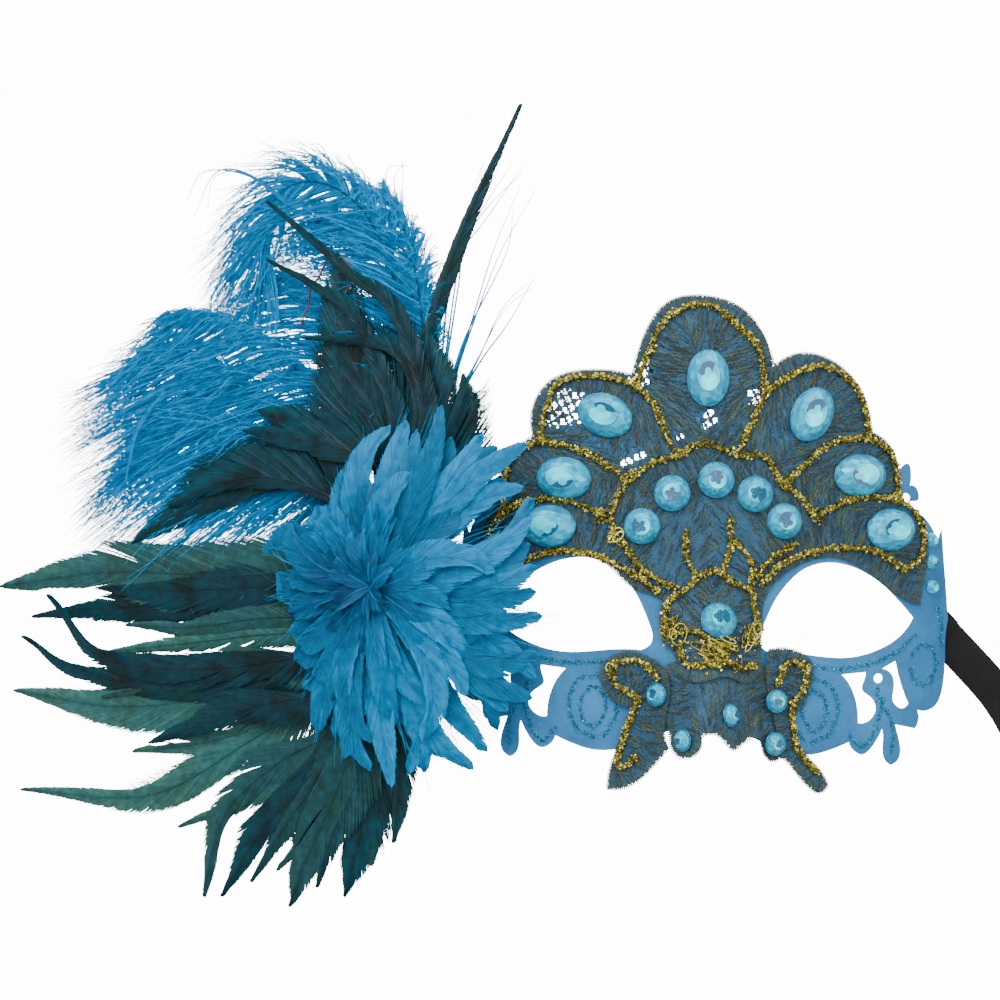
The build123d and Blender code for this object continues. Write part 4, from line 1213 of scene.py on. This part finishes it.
def make_coque():
    """The coque feathers, each with its vane, and the down at their roots."""
    for number, (points, width, lift) in enumerate(COQUE_FEATHERS, 1):
        rng = np.random.default_rng(SEED + 100 + number)
        rise = rng.uniform(-1.0, 2.5)
        tints = coque_tints(PALE_SHARES.get(number, 0.0))
        built = vane(rng, with_root(points), width, lift, rise, tints)
        node = f"coque_feather_{number:02d}"
        as_slot(mesh_piece(node + "_vane", *built, COQUE), "coque_feather", node)
    groups = {"coque_tips_upper": UPPER_COQUE_TIPS, "coque_sickles_left": LEFT_COQUE_SICKLES}
    for node, group in groups.items():
        rng = np.random.default_rng(SEED + 130 + len(group))
        built = []
        for points, width, lift in group:
            quill = with_root(points, TIP_ROOT_SHARE)
            feather = vane(rng, quill, width * TIP_WIDEN, lift, TIP_RISE, COQUE_TINTS, angle=TIP_ANGLE)
            built.append(feather)
        as_slot(mesh_piece(node + "_vanes", *joined(built), COQUE), "coque_feather", node)
    rng = np.random.default_rng(SEED + 135)
    built = []
    for points, width, lift, pale in COQUE_FILL:
        built.append(vane(rng, with_root(points), width, lift, FILL_RISE, coque_tints(pale)))
    as_slot(mesh_piece("coque_fill_vanes", *joined(built), COQUE), "coque_feather")
    rng = np.random.default_rng(SEED + 140)
    tints = (COQUE_BLACK, COQUE_CREAM)
    fluff = []
    for points, lift, reach, count in COQUE_DOWN:
        fluff.append(down(rng, points, lift, reach, count, tints))
    as_slot(mesh_piece("coque_down", *joined(fluff), COQUE), "coque_feather")


OSTRICH_DEEP = linear("0076AC")
OSTRICH_MID = linear("0096D0")
OSTRICH_PALE = linear("18C4F8")

# Ostrich plumes: quill, lift, the number of barbs a side, their reach, and how they fall.
OSTRICH_QUILLS = (
    (
        ((4, 40), (6, 70), (4, 100), (-6, 120), (-20, 130), (-34, 130), (-44, 120), (-46, 106)),
        -3.0, 620, (30, 24), (-8, -16),
    ),
    (((14, 40), (17, 66), (14, 94), (8, 114), (0, 128)), -1.5, 340, (30, 17), (-6, -10)),
    (((8, 40), (10, 68), (6, 96), (-6, 114), (-20, 122)), -4.5, 420, (32, 14), (-10, -14)),
    (((-2, 40), (-10, 66), (-22, 86), (-38, 100)), -5.5, 420, (30, 20), (-10, -14)),
    (((-10, 34), (-34, 52), (-58, 66), (-83, 77)), -7.0, 640, (42, 20), (-12, -20)),
    (((-14, 30), (-40, 42), (-64, 50), (-82, 52)), -5.0, 600, (40, 22), (-10, -20)),
    (((-4, 40), (-20, 60), (-40, 76), (-62, 86), (-80, 88)), -6.0, 560, (38, 15), (-8, -16)),
)
BARBULES = 12
PLUME_POINTS = 70
PLUME_ARCH = 3.0
PLUME_SHAFT = 0.8
PLUME_STEPS = 10
PLUME_BARB = 0.72
SHAFT_BLUE = linear("0B4A70")


def ostrich_plume(rng, points, lift, count, reach, fall):
    """A plume: long soft barbs that droop and curl, each fringed with fine barbules."""
    quill = smooth_path(points, PLUME_POINTS)
    place = np.linspace(0, 1, PLUME_POINTS)
    quill = np.column_stack([quill, lift + PLUME_ARCH * np.sin(math.pi * place)])
    parts = [shaft(quill, PLUME_SHAFT, SHAFT_BLUE)]
    for side in (1, -1):

        def length(t):
            return reach[int(side < 0)] * np.clip(1.15 * np.sin(math.pi * (0.1 + 0.8 * t)) + 0.25, 0.3, 1.2)

        line, places, share = barb_rows(
            rng, quill, count, side, length, lambda t: 1.15 - 0.5 * t, PLUME_STEPS, 0.5, count / 9, 0.16
        )
        tuft = np.floor(places * count / 11).astype(int)
        phase = rng.uniform(0, 6.3, tuft.max() + 1)[tuft][:, None] + rng.normal(0, 0.5, (count, 1))
        sway = np.sin(share[None] * 5 + phase) * share[None] ** 1.5
        bob = np.cos(share[None] * 5 + phase) * share[None] ** 1.5
        droop = [each * share[None] ** 2 * rng.uniform(0.5, 1.3, (count, 1)) for each in fall]
        line[..., 0] += sway * 3.0 + droop[0]
        line[..., 1] += bob * 2.2 + droop[1]
        line[..., 2] += rng.normal(0, 1.8, (count, 1)) * share[None] + sway
        width = np.broadcast_to(PLUME_BARB * (1 - 0.85 * share), line.shape[:2])
        pick = np.clip(rng.normal(0.35, 0.25, (count, 1)) + 0.35 * share[None], 0, 1)
        tint = mixed(OSTRICH_DEEP, OSTRICH_MID, pick)
        tint = mixed(tint, OSTRICH_PALE, np.clip(pick - 0.55, 0, 1) * 1.3)
        parts.append(barb_strips(rng, line, width, tint, 0.5))
        parts.append(barbules(rng, line, tint))
    return joined(parts)


def barbules(rng, line, tint):
    """Fine hairs off both sides of each barb."""
    count, steps, _ = line.shape
    place = rng.uniform(0.06, 0.98, (count, BARBULES)) * (steps - 1)
    low = np.floor(place).astype(int)
    part = (place - low)[..., None]
    rows = np.arange(count)[:, None]
    high = np.minimum(low + 1, steps - 1)
    root = line[rows, low] * (1 - part) + line[rows, high] * part
    ahead = unit(line[rows, high] - line[rows, low] + 1e-9)
    side = np.where(rng.random((count, BARBULES, 1)) > 0.5, 1.0, -1.0)
    across = np.stack([-ahead[..., 1], ahead[..., 0], rng.normal(0, 0.5, ahead.shape[:2])], -1) * side
    way = unit(ahead * rng.uniform(0.5, 1.4, (count, BARBULES, 1)) + across)
    reach = rng.uniform(1.0, 2.9, (count, BARBULES, 1)) * (1.1 - 0.6 * place / (steps - 1))[..., None]
    tip = in_cluster(root + way * reach)
    base = in_cluster(root)
    half = unit(np.cross(tip - base, CLUSTER_OUT)) * 0.075
    points = np.stack([base - half, base + half, tip + half * 0.3, tip - half * 0.3], 2).reshape(-1, 3)
    quads = np.arange(len(points)).reshape(-1, 4)
    hue = np.repeat((tint[rows, low] * 1.1)[:, :, None], 4, 2).reshape(-1, 3)
    return points, quads, hue


# Thin blue and dark wisps that stand out of the plumes.
BLUE_WISPS = (
    ((22, 60), (26, 96), (30, 116), (36, 134)),
    ((14, 70), (20, 98), (32, 118), (48, 134)),
    ((24, 64), (30, 84), (38, 106), (48, 126)),
    ((24, 56), (34, 72), (44, 88), (52, 100)),
    ((10, 90), (6, 114), (4, 130), (6, 140)),
    ((-34, 124), (-50, 134), (-62, 134), (-70, 124)),
    ((-48, 112), (-56, 104), (-60, 92), (-60, 84)),
    ((-78, 62), (-88, 50), (-92, 36), (-90, 24)),
)
RED_TWIST = ((-26, 84), (-22, 98), (-14, 106), (-8, 100), (-12, 92))
RED_TINT = linear("4A1420")
TWIST_POINTS = 60
TWIST_LIFT = 4.0
TWIST_RADIUS = 0.35
WISPS_A_BUNDLE = 3
WISP_POINTS = 30
WISP_WIDTHS = (0.9, 0.2)


def wisp(rng, flat, lift, widths, tints):
    """One thin hair along a line in the cluster plane, with the line and tint it used."""
    line = np.column_stack([flat, np.full(len(flat), lift)])[None]
    tint = np.broadcast_to(mixed(*tints, rng.random()), line.shape)
    width = np.broadcast_to(np.linspace(*widths, len(flat)), line.shape[:2])
    return barb_strips(rng, line, width, tint, 0.3), line, tint


def make_ostrich():
    """Both plumes, the wisps that stand out of them and the twist of dark red thread."""
    owners = ("ostrich_plume_1",) * 4 + ("ostrich_plume_2",) * 3
    for number, (owner, facts) in enumerate(zip(owners, OSTRICH_QUILLS), 1):
        rng = np.random.default_rng(SEED + 200 + number)
        piece = mesh_piece(f"ostrich_barbs_{number}", *ostrich_plume(rng, *facts), OSTRICH)
        as_slot(piece, "ostrich_feather", owner)
    rng = np.random.default_rng(SEED + 210)
    wisps = []
    for points in BLUE_WISPS:
        for _ in range(WISPS_A_BUNDLE):
            offset = rng.normal(0, 1.6, (len(points), 2)) * np.linspace(0.2, 1.6, len(points))[:, None]
            flat = smooth_path(np.array(points) + offset, WISP_POINTS)
            lift = rng.uniform(-4, 2)
            hair, line, tint = wisp(rng, flat, lift, WISP_WIDTHS, (OSTRICH_DEEP, OSTRICH_MID))
            wisps += [hair, barbules(rng, line, tint)]
    as_slot(mesh_piece("ostrich_wisps", *joined(wisps), OSTRICH), "ostrich_feather")
    lifts = TWIST_LIFT + np.sin(np.arange(TWIST_POINTS) * 0.5)
    twist = in_cluster(np.column_stack([smooth_path(RED_TWIST, TWIST_POINTS), lifts]))[None]
    radius = np.full((1, TWIST_POINTS), TWIST_RADIUS)
    thread = tubes(twist, radius, np.broadcast_to(RED_TINT, twist.shape), CLUSTER_OUT)
    as_slot(mesh_piece("red_twist", *thread, LACE_THREAD), "ostrich_feather")


# Rosette blues: a painted shade, the body, and a light blue that is also the painted highlight.
PETAL_SHADE = linear("003E68")
PETAL_BODY = linear("0072A6")
PETAL_LIGHT = linear("0096CC")
# The tips of each ring's feathers, from the ring at the back to the one in front.
PETAL_RINGS = (
    (
        (-34, 10.5), (-30, -4), (-26, -16), (-20, -34), (-14, -46), (-4, -56),
        (12, -60), (24, -60), (38, -54), (48, -44), (56, -32), (62, -20),
    ),
    (
        (64, -8), (60, 8), (56, 22), (56, 34), (52.9, 44.9), (38, 46),
        (26, 56), (14, 53), (2, 46), (-8, 34), (-16, 24),
    ),
    (
        (-24, 18), (-26, 2), (-22, -20), (-10, -38), (4, -48), (22, -46), (36, -32),
        (42, -14), (44, 6), (34, 26), (18, 36), (2, 32), (-12, 24),
    ),
    ((-12, 14), (-16, -8), (-6, -24), (8, -30), (22, -24), (30, -6), (26, 14), (12, 24), (0, 20)),
)
PETAL_LIFTS = (11.0, 14.0, 17.0, 20.0)
PETAL_WIDTHS = (14.5, 13.5, 12.0, 9.0)
# Sideways shift for each millimetre of lift: keeps the rings centred seen from the front.
VIEW_SHIFT = math.tan(CLUSTER_TURN)
HEART_TIPS = ((-9, 6), (-6, -9), (5, -12), (12, -4), (12, 8), (4, 13), (-4, 12), (8, 2))
HEART_LIFT = 21.5
HEART_WIDTH = 9.0
PETAL_POINTS = 50
PETAL_SHAFT = 0.4
PETAL_STEPS = 6
PETAL_BARB = 0.72
PETAL_BARB_GAP = 0.32
PETAL_BARB_ANGLE = 0.62


def petal(rng, tip, lift, width):
    """A short rosette feather: arched towards the viewer, with slightly uneven barbs."""
    root = np.array((VIEW_SHIFT * lift, 0.0))
    tip = np.array(tip, float) * rng.uniform(0.96, 1.06) + (VIEW_SHIFT * (lift - PETAL_LIFTS[0]), 0)
    reach = np.linalg.norm(tip - root)
    ahead = (tip - root) / reach
    across = np.array((-ahead[1], ahead[0]))
    bow = rng.normal(0, 0.09) * reach
    points = [root - ahead * 1.5]
    points += [root + ahead * reach * share + across * bow for share in (0.4, 0.75)]
    quill = smooth_path([*points, tip], PETAL_POINTS)
    place = np.linspace(0, 1, PETAL_POINTS)
    arch = rng.uniform(4.5, 8.0) * (1.1 - lift / 40)
    height = lift + arch * np.sin(math.pi * place**0.9 * 0.8) - 3.0 * place**3
    quill = np.column_stack([quill, height])
    parts = [shaft(quill, PETAL_SHAFT, PETAL_BODY)]
    count = int(reach / PETAL_BARB_GAP)
    shade = rng.uniform(0.62, 1.25)
    for side in (1, -1):

        def length(t):
            swell = np.clip(np.sin(math.pi * np.clip(t, 0.02, 0.995) ** 0.75), 0, 1) ** 0.7
            full = (1.0 + width / 2 * swell) / math.sin(PETAL_BARB_ANGLE)
            return np.minimum(full, (1 - t) * reach * 0.85 + 0.9)

        def lean(t):
            return 0.7 - 0.34 * t

        clumps = max(3, reach / 12)
        line, _, share = barb_rows(rng, quill, count, side, length, lean, PETAL_STEPS, 0.55, clumps, 0.03)
        cup = share[None] ** 1.6 * rng.uniform(-2.4, 0.6)
        line[..., 2] += cup + rng.normal(0, 0.18, (count, 1)) * share[None]
        width_now = np.broadcast_to(PETAL_BARB * (1 - 0.75 * share**3), line.shape[:2])
        # Painted shade darkens the barbs near the rosette's middle, and a painted highlight lightens them
        # towards the barbs' ends and away from the middle; each petal is then made lighter or darker at
        # random.
        near = np.clip(np.linalg.norm(line[..., :2], axis=-1) / 46, 0, 1)
        tint = mixed(PETAL_SHADE, PETAL_BODY, np.clip(near * 1.5, 0, 1))
        light = np.clip(share[None] * 0.55 + 0.5 * near - 0.45 + rng.normal(0, 0.1, (count, 1)), 0, 1)
        tint = mixed(tint, PETAL_LIGHT, light) * shade
        parts.append(barb_strips(rng, line, width_now, tint, 0.14))
    return joined(parts)


EDGE_WISPS_A_TIP = 9
EDGE_WISP_POINTS = 18
EDGE_WISP_WIDTHS = (0.4, 0.08)


def make_rosette():
    """The four rings of rosette feathers, and the loose wisps at the rosette's edge."""
    for number, (tips, lift, width) in enumerate(zip(PETAL_RINGS, PETAL_LIFTS, PETAL_WIDTHS), 1):
        rng = np.random.default_rng(SEED + 300 + number)
        petals = [petal(rng, tip, lift + rng.uniform(-1.2, 1.2), width) for tip in tips]
        pairs = zip(tips, tips[1:] + tips[:1])
        between = [(np.array(a) + b) / 2 * rng.uniform(0.86, 1.04) for a, b in pairs]
        petals += [petal(rng, tip, lift + rng.uniform(-2.0, 0.5), width) for tip in between]
        node = f"rosette_ring_{number}"
        as_slot(mesh_piece(node + "_petals", *joined(petals), PETAL), "rosette_feather", node)
    rng = np.random.default_rng(SEED + 310)
    heart = [petal(rng, tip, HEART_LIFT, HEART_WIDTH) for tip in HEART_TIPS]
    as_slot(mesh_piece("rosette_heart", *joined(heart), PETAL), "rosette_feather")
    rng = np.random.default_rng(SEED + 320)
    wisps = []
    for tip in PETAL_RINGS[0] + PETAL_RINGS[1]:
        for _ in range(EDGE_WISPS_A_TIP):
            end = np.array(tip) * rng.uniform(0.95, 1.08) + rng.normal(0, 2.0, 2)
            middle = np.array(tip) * 0.7 + rng.normal(0, 2.0, 2)
            flat = smooth_path([np.array(tip) * 0.4, middle, end], EDGE_WISP_POINTS)
            lift = PETAL_LIFTS[0] + rng.uniform(-2, 4)
            hair, _, _ = wisp(rng, flat, lift, EDGE_WISP_WIDTHS, (PETAL_BODY, PETAL_LIGHT))
            wisps.append(hair)
    as_slot(mesh_piece("rosette_wisps", *joined(wisps), PETAL), "rosette_feather")


# ---------------------------------------------------------------- ribbon tie

RIBBON_Y = 31.2
RIBBON_WIDTH = 12.0
RIBBON_ROUTE = ((79.4, -7.6), (89, -17.2), (98.6, -27.6), (106, -40.4), (110.4, -54.4), (110.4, -68.4))
HANK_RUNS = 3
HANK_PITCH = 9.0
HANK_LENGTH = 82.0
HANK_INSET = 2.0
HANK_TURN_POINTS = 4
SATIN_TINT = 0.02
BAND_SIDES = 73
BAND_ROWS = 9
BAND_SQUARENESS = 5.0


def ribbon_points():
    """The ribbon's control points: the free stretch, then the folds of its hank."""
    points = [(x, RIBBON_Y, z) for x, z in RIBBON_ROUTE]
    x, top = RIBBON_ROUTE[-1]
    bottom = top - HANK_LENGTH + HANK_INSET
    reach = HANK_PITCH / 2
    for run in range(HANK_RUNS):
        y = RIBBON_Y + run * HANK_PITCH
        upper = top - HANK_INSET - reach
        lower = bottom + reach
        ends = (upper, lower) if run % 2 == 0 else (lower, upper)
        points += [(x, y, z) for z in np.linspace(*ends, 5)[(1 if run == 0 else 0) :]]
        if run < HANK_RUNS - 1:
            bend = -1 if run % 2 == 0 else 1
            for k in range(1, HANK_TURN_POINTS):
                angle = math.pi * k / HANK_TURN_POINTS
                out = y + reach - reach * math.cos(angle)
                points.append((x, out, ends[1] + bend * reach * math.sin(angle)))
    return points


def curve_line(points):
    """The smooth line of a NURBS curve through control points, in millimetres."""
    data = bpy.data.curves.new("ribbon_route", "CURVE")
    data.dimensions = "3D"
    data.resolution_u = 12
    spline = data.splines.new("NURBS")
    spline.points.add(len(points) - 1)
    for point, place in zip(spline.points, points):
        point.co = (*[each * MM for each in place], 1.0)
    spline.order_u = 3
    spline.use_endpoint_u = True
    route = bpy.data.objects.new("ribbon_route", data)
    mesh = bpy.data.meshes.new_from_object(route)
    line = np.array([vertex.co[:] for vertex in mesh.vertices]) / MM
    bpy.data.objects.remove(route)
    bpy.data.meshes.remove(mesh)
    apart = np.linalg.norm(np.diff(line, axis=0), axis=1) > 0.02
    return line[np.concatenate([[True], apart])]


def make_ribbon():
    """The satin ribbon along its free stretch and through its folds, with woven edges."""
    line = curve_line(ribbon_points())
    along = unit(np.gradient(line, axis=0))
    flat_way = np.tile(np.array((0.0, 1.0, 0.0)), (len(line), 1))
    across = unit(np.cross(along, flat_way))
    hank_across = np.array((-1.0, 0.0, 0.0))
    blend = np.clip((RIBBON_ROUTE[-1][1] + 22 - line[:, 2]) / 18, 0, 1)[:, None]
    across = unit(across * np.where(across[:, :1] > 0, -1, 1) * (1 - blend) + hank_across * blend)
    shares = np.array((-0.5, -0.47, -0.44, -0.25, 0.0, 0.25, 0.44, 0.47, 0.5))
    normal = unit(np.cross(across, along))
    length = distances(line)
    cup = 0.35 * np.sin(length / 9.0)
    rows = []
    for face in (0.18, -0.18):
        thick = np.where(np.abs(shares) > 0.43, 1.7, 1.0)
        sheet = line[:, None] + across[:, None] * (shares * RIBBON_WIDTH)[None, :, None]
        bulge = cup[:, None] * (1 - (2 * shares) ** 2)[None] + face * thick[None]
        rows.append(sheet + normal[:, None] * bulge[..., None])
    around = np.concatenate([rows[0], rows[1][:, ::-1], rows[0][:, :1]], 1)
    steps, wide, _ = around.shape
    faces = ribbon_faces(1, steps, wide)
    tint = np.full((steps * wide, 3), SATIN_TINT)
    piece = mesh_piece("tie_ribbon_satin", around, faces, tint, SATIN)
    as_slot(piece, "black_satin", "tie_ribbon", "tie_hank")
    band = make_band()


def make_band():
    """The loop of ribbon round the hank."""
    low, high = [np.array(each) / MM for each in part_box("tie_band")]
    middle, half = (low + high) / 2, (high - low) / 2 - 0.3
    turn = np.linspace(0, 2 * math.pi, BAND_SIDES)
    power = 2 / BAND_SQUARENESS
    ring_x = np.sign(np.cos(turn)) * np.abs(np.cos(turn)) ** power * half[0]
    ring_y = np.sign(np.sin(turn)) * np.abs(np.sin(turn)) ** power * half[1]
    heights = np.linspace(-half[2], half[2], BAND_ROWS)
    pinch = 0.25 * np.cos(np.linspace(0, 4 * math.pi, BAND_ROWS))
    points = np.stack(
        [
            middle[0] + ring_x[:, None] + pinch[None] * np.cos(turn)[:, None],
            middle[1] + ring_y[:, None] + pinch[None] * np.sin(turn)[:, None],
            middle[2] + heights[None] + 0.3 * np.sin(turn * 3)[:, None],
        ],
        -1,
    )
    faces = ribbon_faces(1, BAND_SIDES, BAND_ROWS)
    tint = np.full((BAND_SIDES * BAND_ROWS, 3), SATIN_TINT)
    band = mesh_piece("tie_band_satin", points, faces, tint, SATIN)
    return as_slot(band, "black_satin", "tie_band")


# ---------------------------------------------------------------- stage

FLOOR_DROP = 0.05
WALL_REACH = 5.0
WALL_CURVE = 1.0
WALL_CURVE_STEPS = 12
WALL_HEIGHT = 6.0
WALL_SIDES = 64
PAPER_GLOW = 14.0


def make_stage():
    """A pale round floor that sweeps up into a pale wall all the way round."""
    floor_z = cad_bounds[0][2] - FLOOR_DROP
    foot = WALL_REACH - WALL_CURVE
    profile = [(0.001, floor_z), (foot, floor_z)]
    for k in range(1, WALL_CURVE_STEPS):
        angle = math.pi / 2 * k / WALL_CURVE_STEPS
        rise = WALL_CURVE - WALL_CURVE * math.cos(angle)
        profile.append((foot + WALL_CURVE * math.sin(angle), floor_z + rise))
    profile.append((WALL_REACH, floor_z + WALL_HEIGHT))
    count = len(profile)
    turn = [2 * math.pi * k / WALL_SIDES for k in range(WALL_SIDES)]
    verts = [(r * math.cos(angle), r * math.sin(angle), z) for angle in turn for r, z in profile]
    faces = []
    for side in range(WALL_SIDES):
        this, after = side * count, (side + 1) % WALL_SIDES * count
        faces += [(this + k, after + k, after + k + 1, this + k + 1) for k in range(count - 1)]
    mesh = bpy.data.meshes.new("backdrop")
    mesh.from_pydata(verts, [], faces)
    for polygon in mesh.polygons:
        polygon.use_smooth = True
    finish = Finish("backdrop_paper").set(Roughness=0.9, Specular_IOR_Level=0.1)
    paper = finish.ramp(finish.noise(3, 2), ((0.2, (0.95, 0.95, 0.955)), (0.8, (0.97, 0.97, 0.97))))
    finish.feed("Base Color", paper)
    finish.feed("Emission Color", paper)
    finish.set(Emission_Strength=PAPER_GLOW)
    mesh.materials.append(finish.material)
    backdrop = bpy.data.objects.new("backdrop", mesh)
    bpy.context.scene.collection.objects.link(backdrop)
    # The bright paper shows behind the mask, and adds no light of its own to it.
    backdrop.visible_diffuse = False
    backdrop.visible_glossy = False
    backdrop.visible_transmission = False
    backdrop.visible_shadow = False


# Soft boxes: name, place and size in metres, power in watts.
LIGHTS = (
    ("key", (-0.7, -1.3, 1.2), 1.1, 36.0),
    ("fill", (1.1, -1.4, 0.4), 1.2, 13.0),
    ("front", (0.0, -1.6, 0.3), 0.8, 7.0),
    ("back_wash", (0.0, 0.35, 1.5), 1.6, 20.0),
)
BACK_WASH_AIM = (0, 1.0, -0.1)
WORLD_STRENGTH = 0.85


def make_lights():
    """Area lamps, all aimed at the mask except the back wash, and a white world."""
    target = Vector(((cad_bounds[0][0] + cad_bounds[1][0]) / 2, 0, 0))
    for name, place, size, power in LIGHTS:
        data = bpy.data.lights.new(name, "AREA")
        data.shape = "SQUARE"
        data.size = size
        data.energy = power
        lamp = bpy.data.objects.new(name, data)
        lamp.location = place
        aim = target if name != "back_wash" else Vector(BACK_WASH_AIM)
        lamp.rotation_euler = (aim - Vector(place)).to_track_quat("-Z", "Y").to_euler()
        bpy.context.scene.collection.objects.link(lamp)
    world = bpy.data.worlds.new("studio")
    world.use_nodes = True
    background = world.node_tree.nodes["Background"]
    background.inputs["Color"].default_value = (1, 1, 1, 1)
    background.inputs["Strength"].default_value = WORLD_STRENGTH
    bpy.context.scene.world = world


# ---------------------------------------------------------------- making


# CAD nodes that stay in view as they are, and the finish each one gets.
PLAIN_NODES = {
    "mask_shell": SHELL_PAINT,
    "crest_stiffener": FELT,
    "backing_disc": FELT,
    "quill_bundle": GLUE,
    "glue_pad": GLUE,
    "tie_patch_right": SATIN,
    "tie_patch_left": SATIN,
}


def main():
    """Makes every piece."""
    make_camera()
    make_ribbon()
    for node, finish in PLAIN_NODES.items():
        dress(node, finish)
    make_glitter_lines()
    make_lace()
    make_gold_cord()
    make_stones()
    make_coque()
    make_ostrich()
    make_rosette()
    make_stage()
    make_lights()


main()
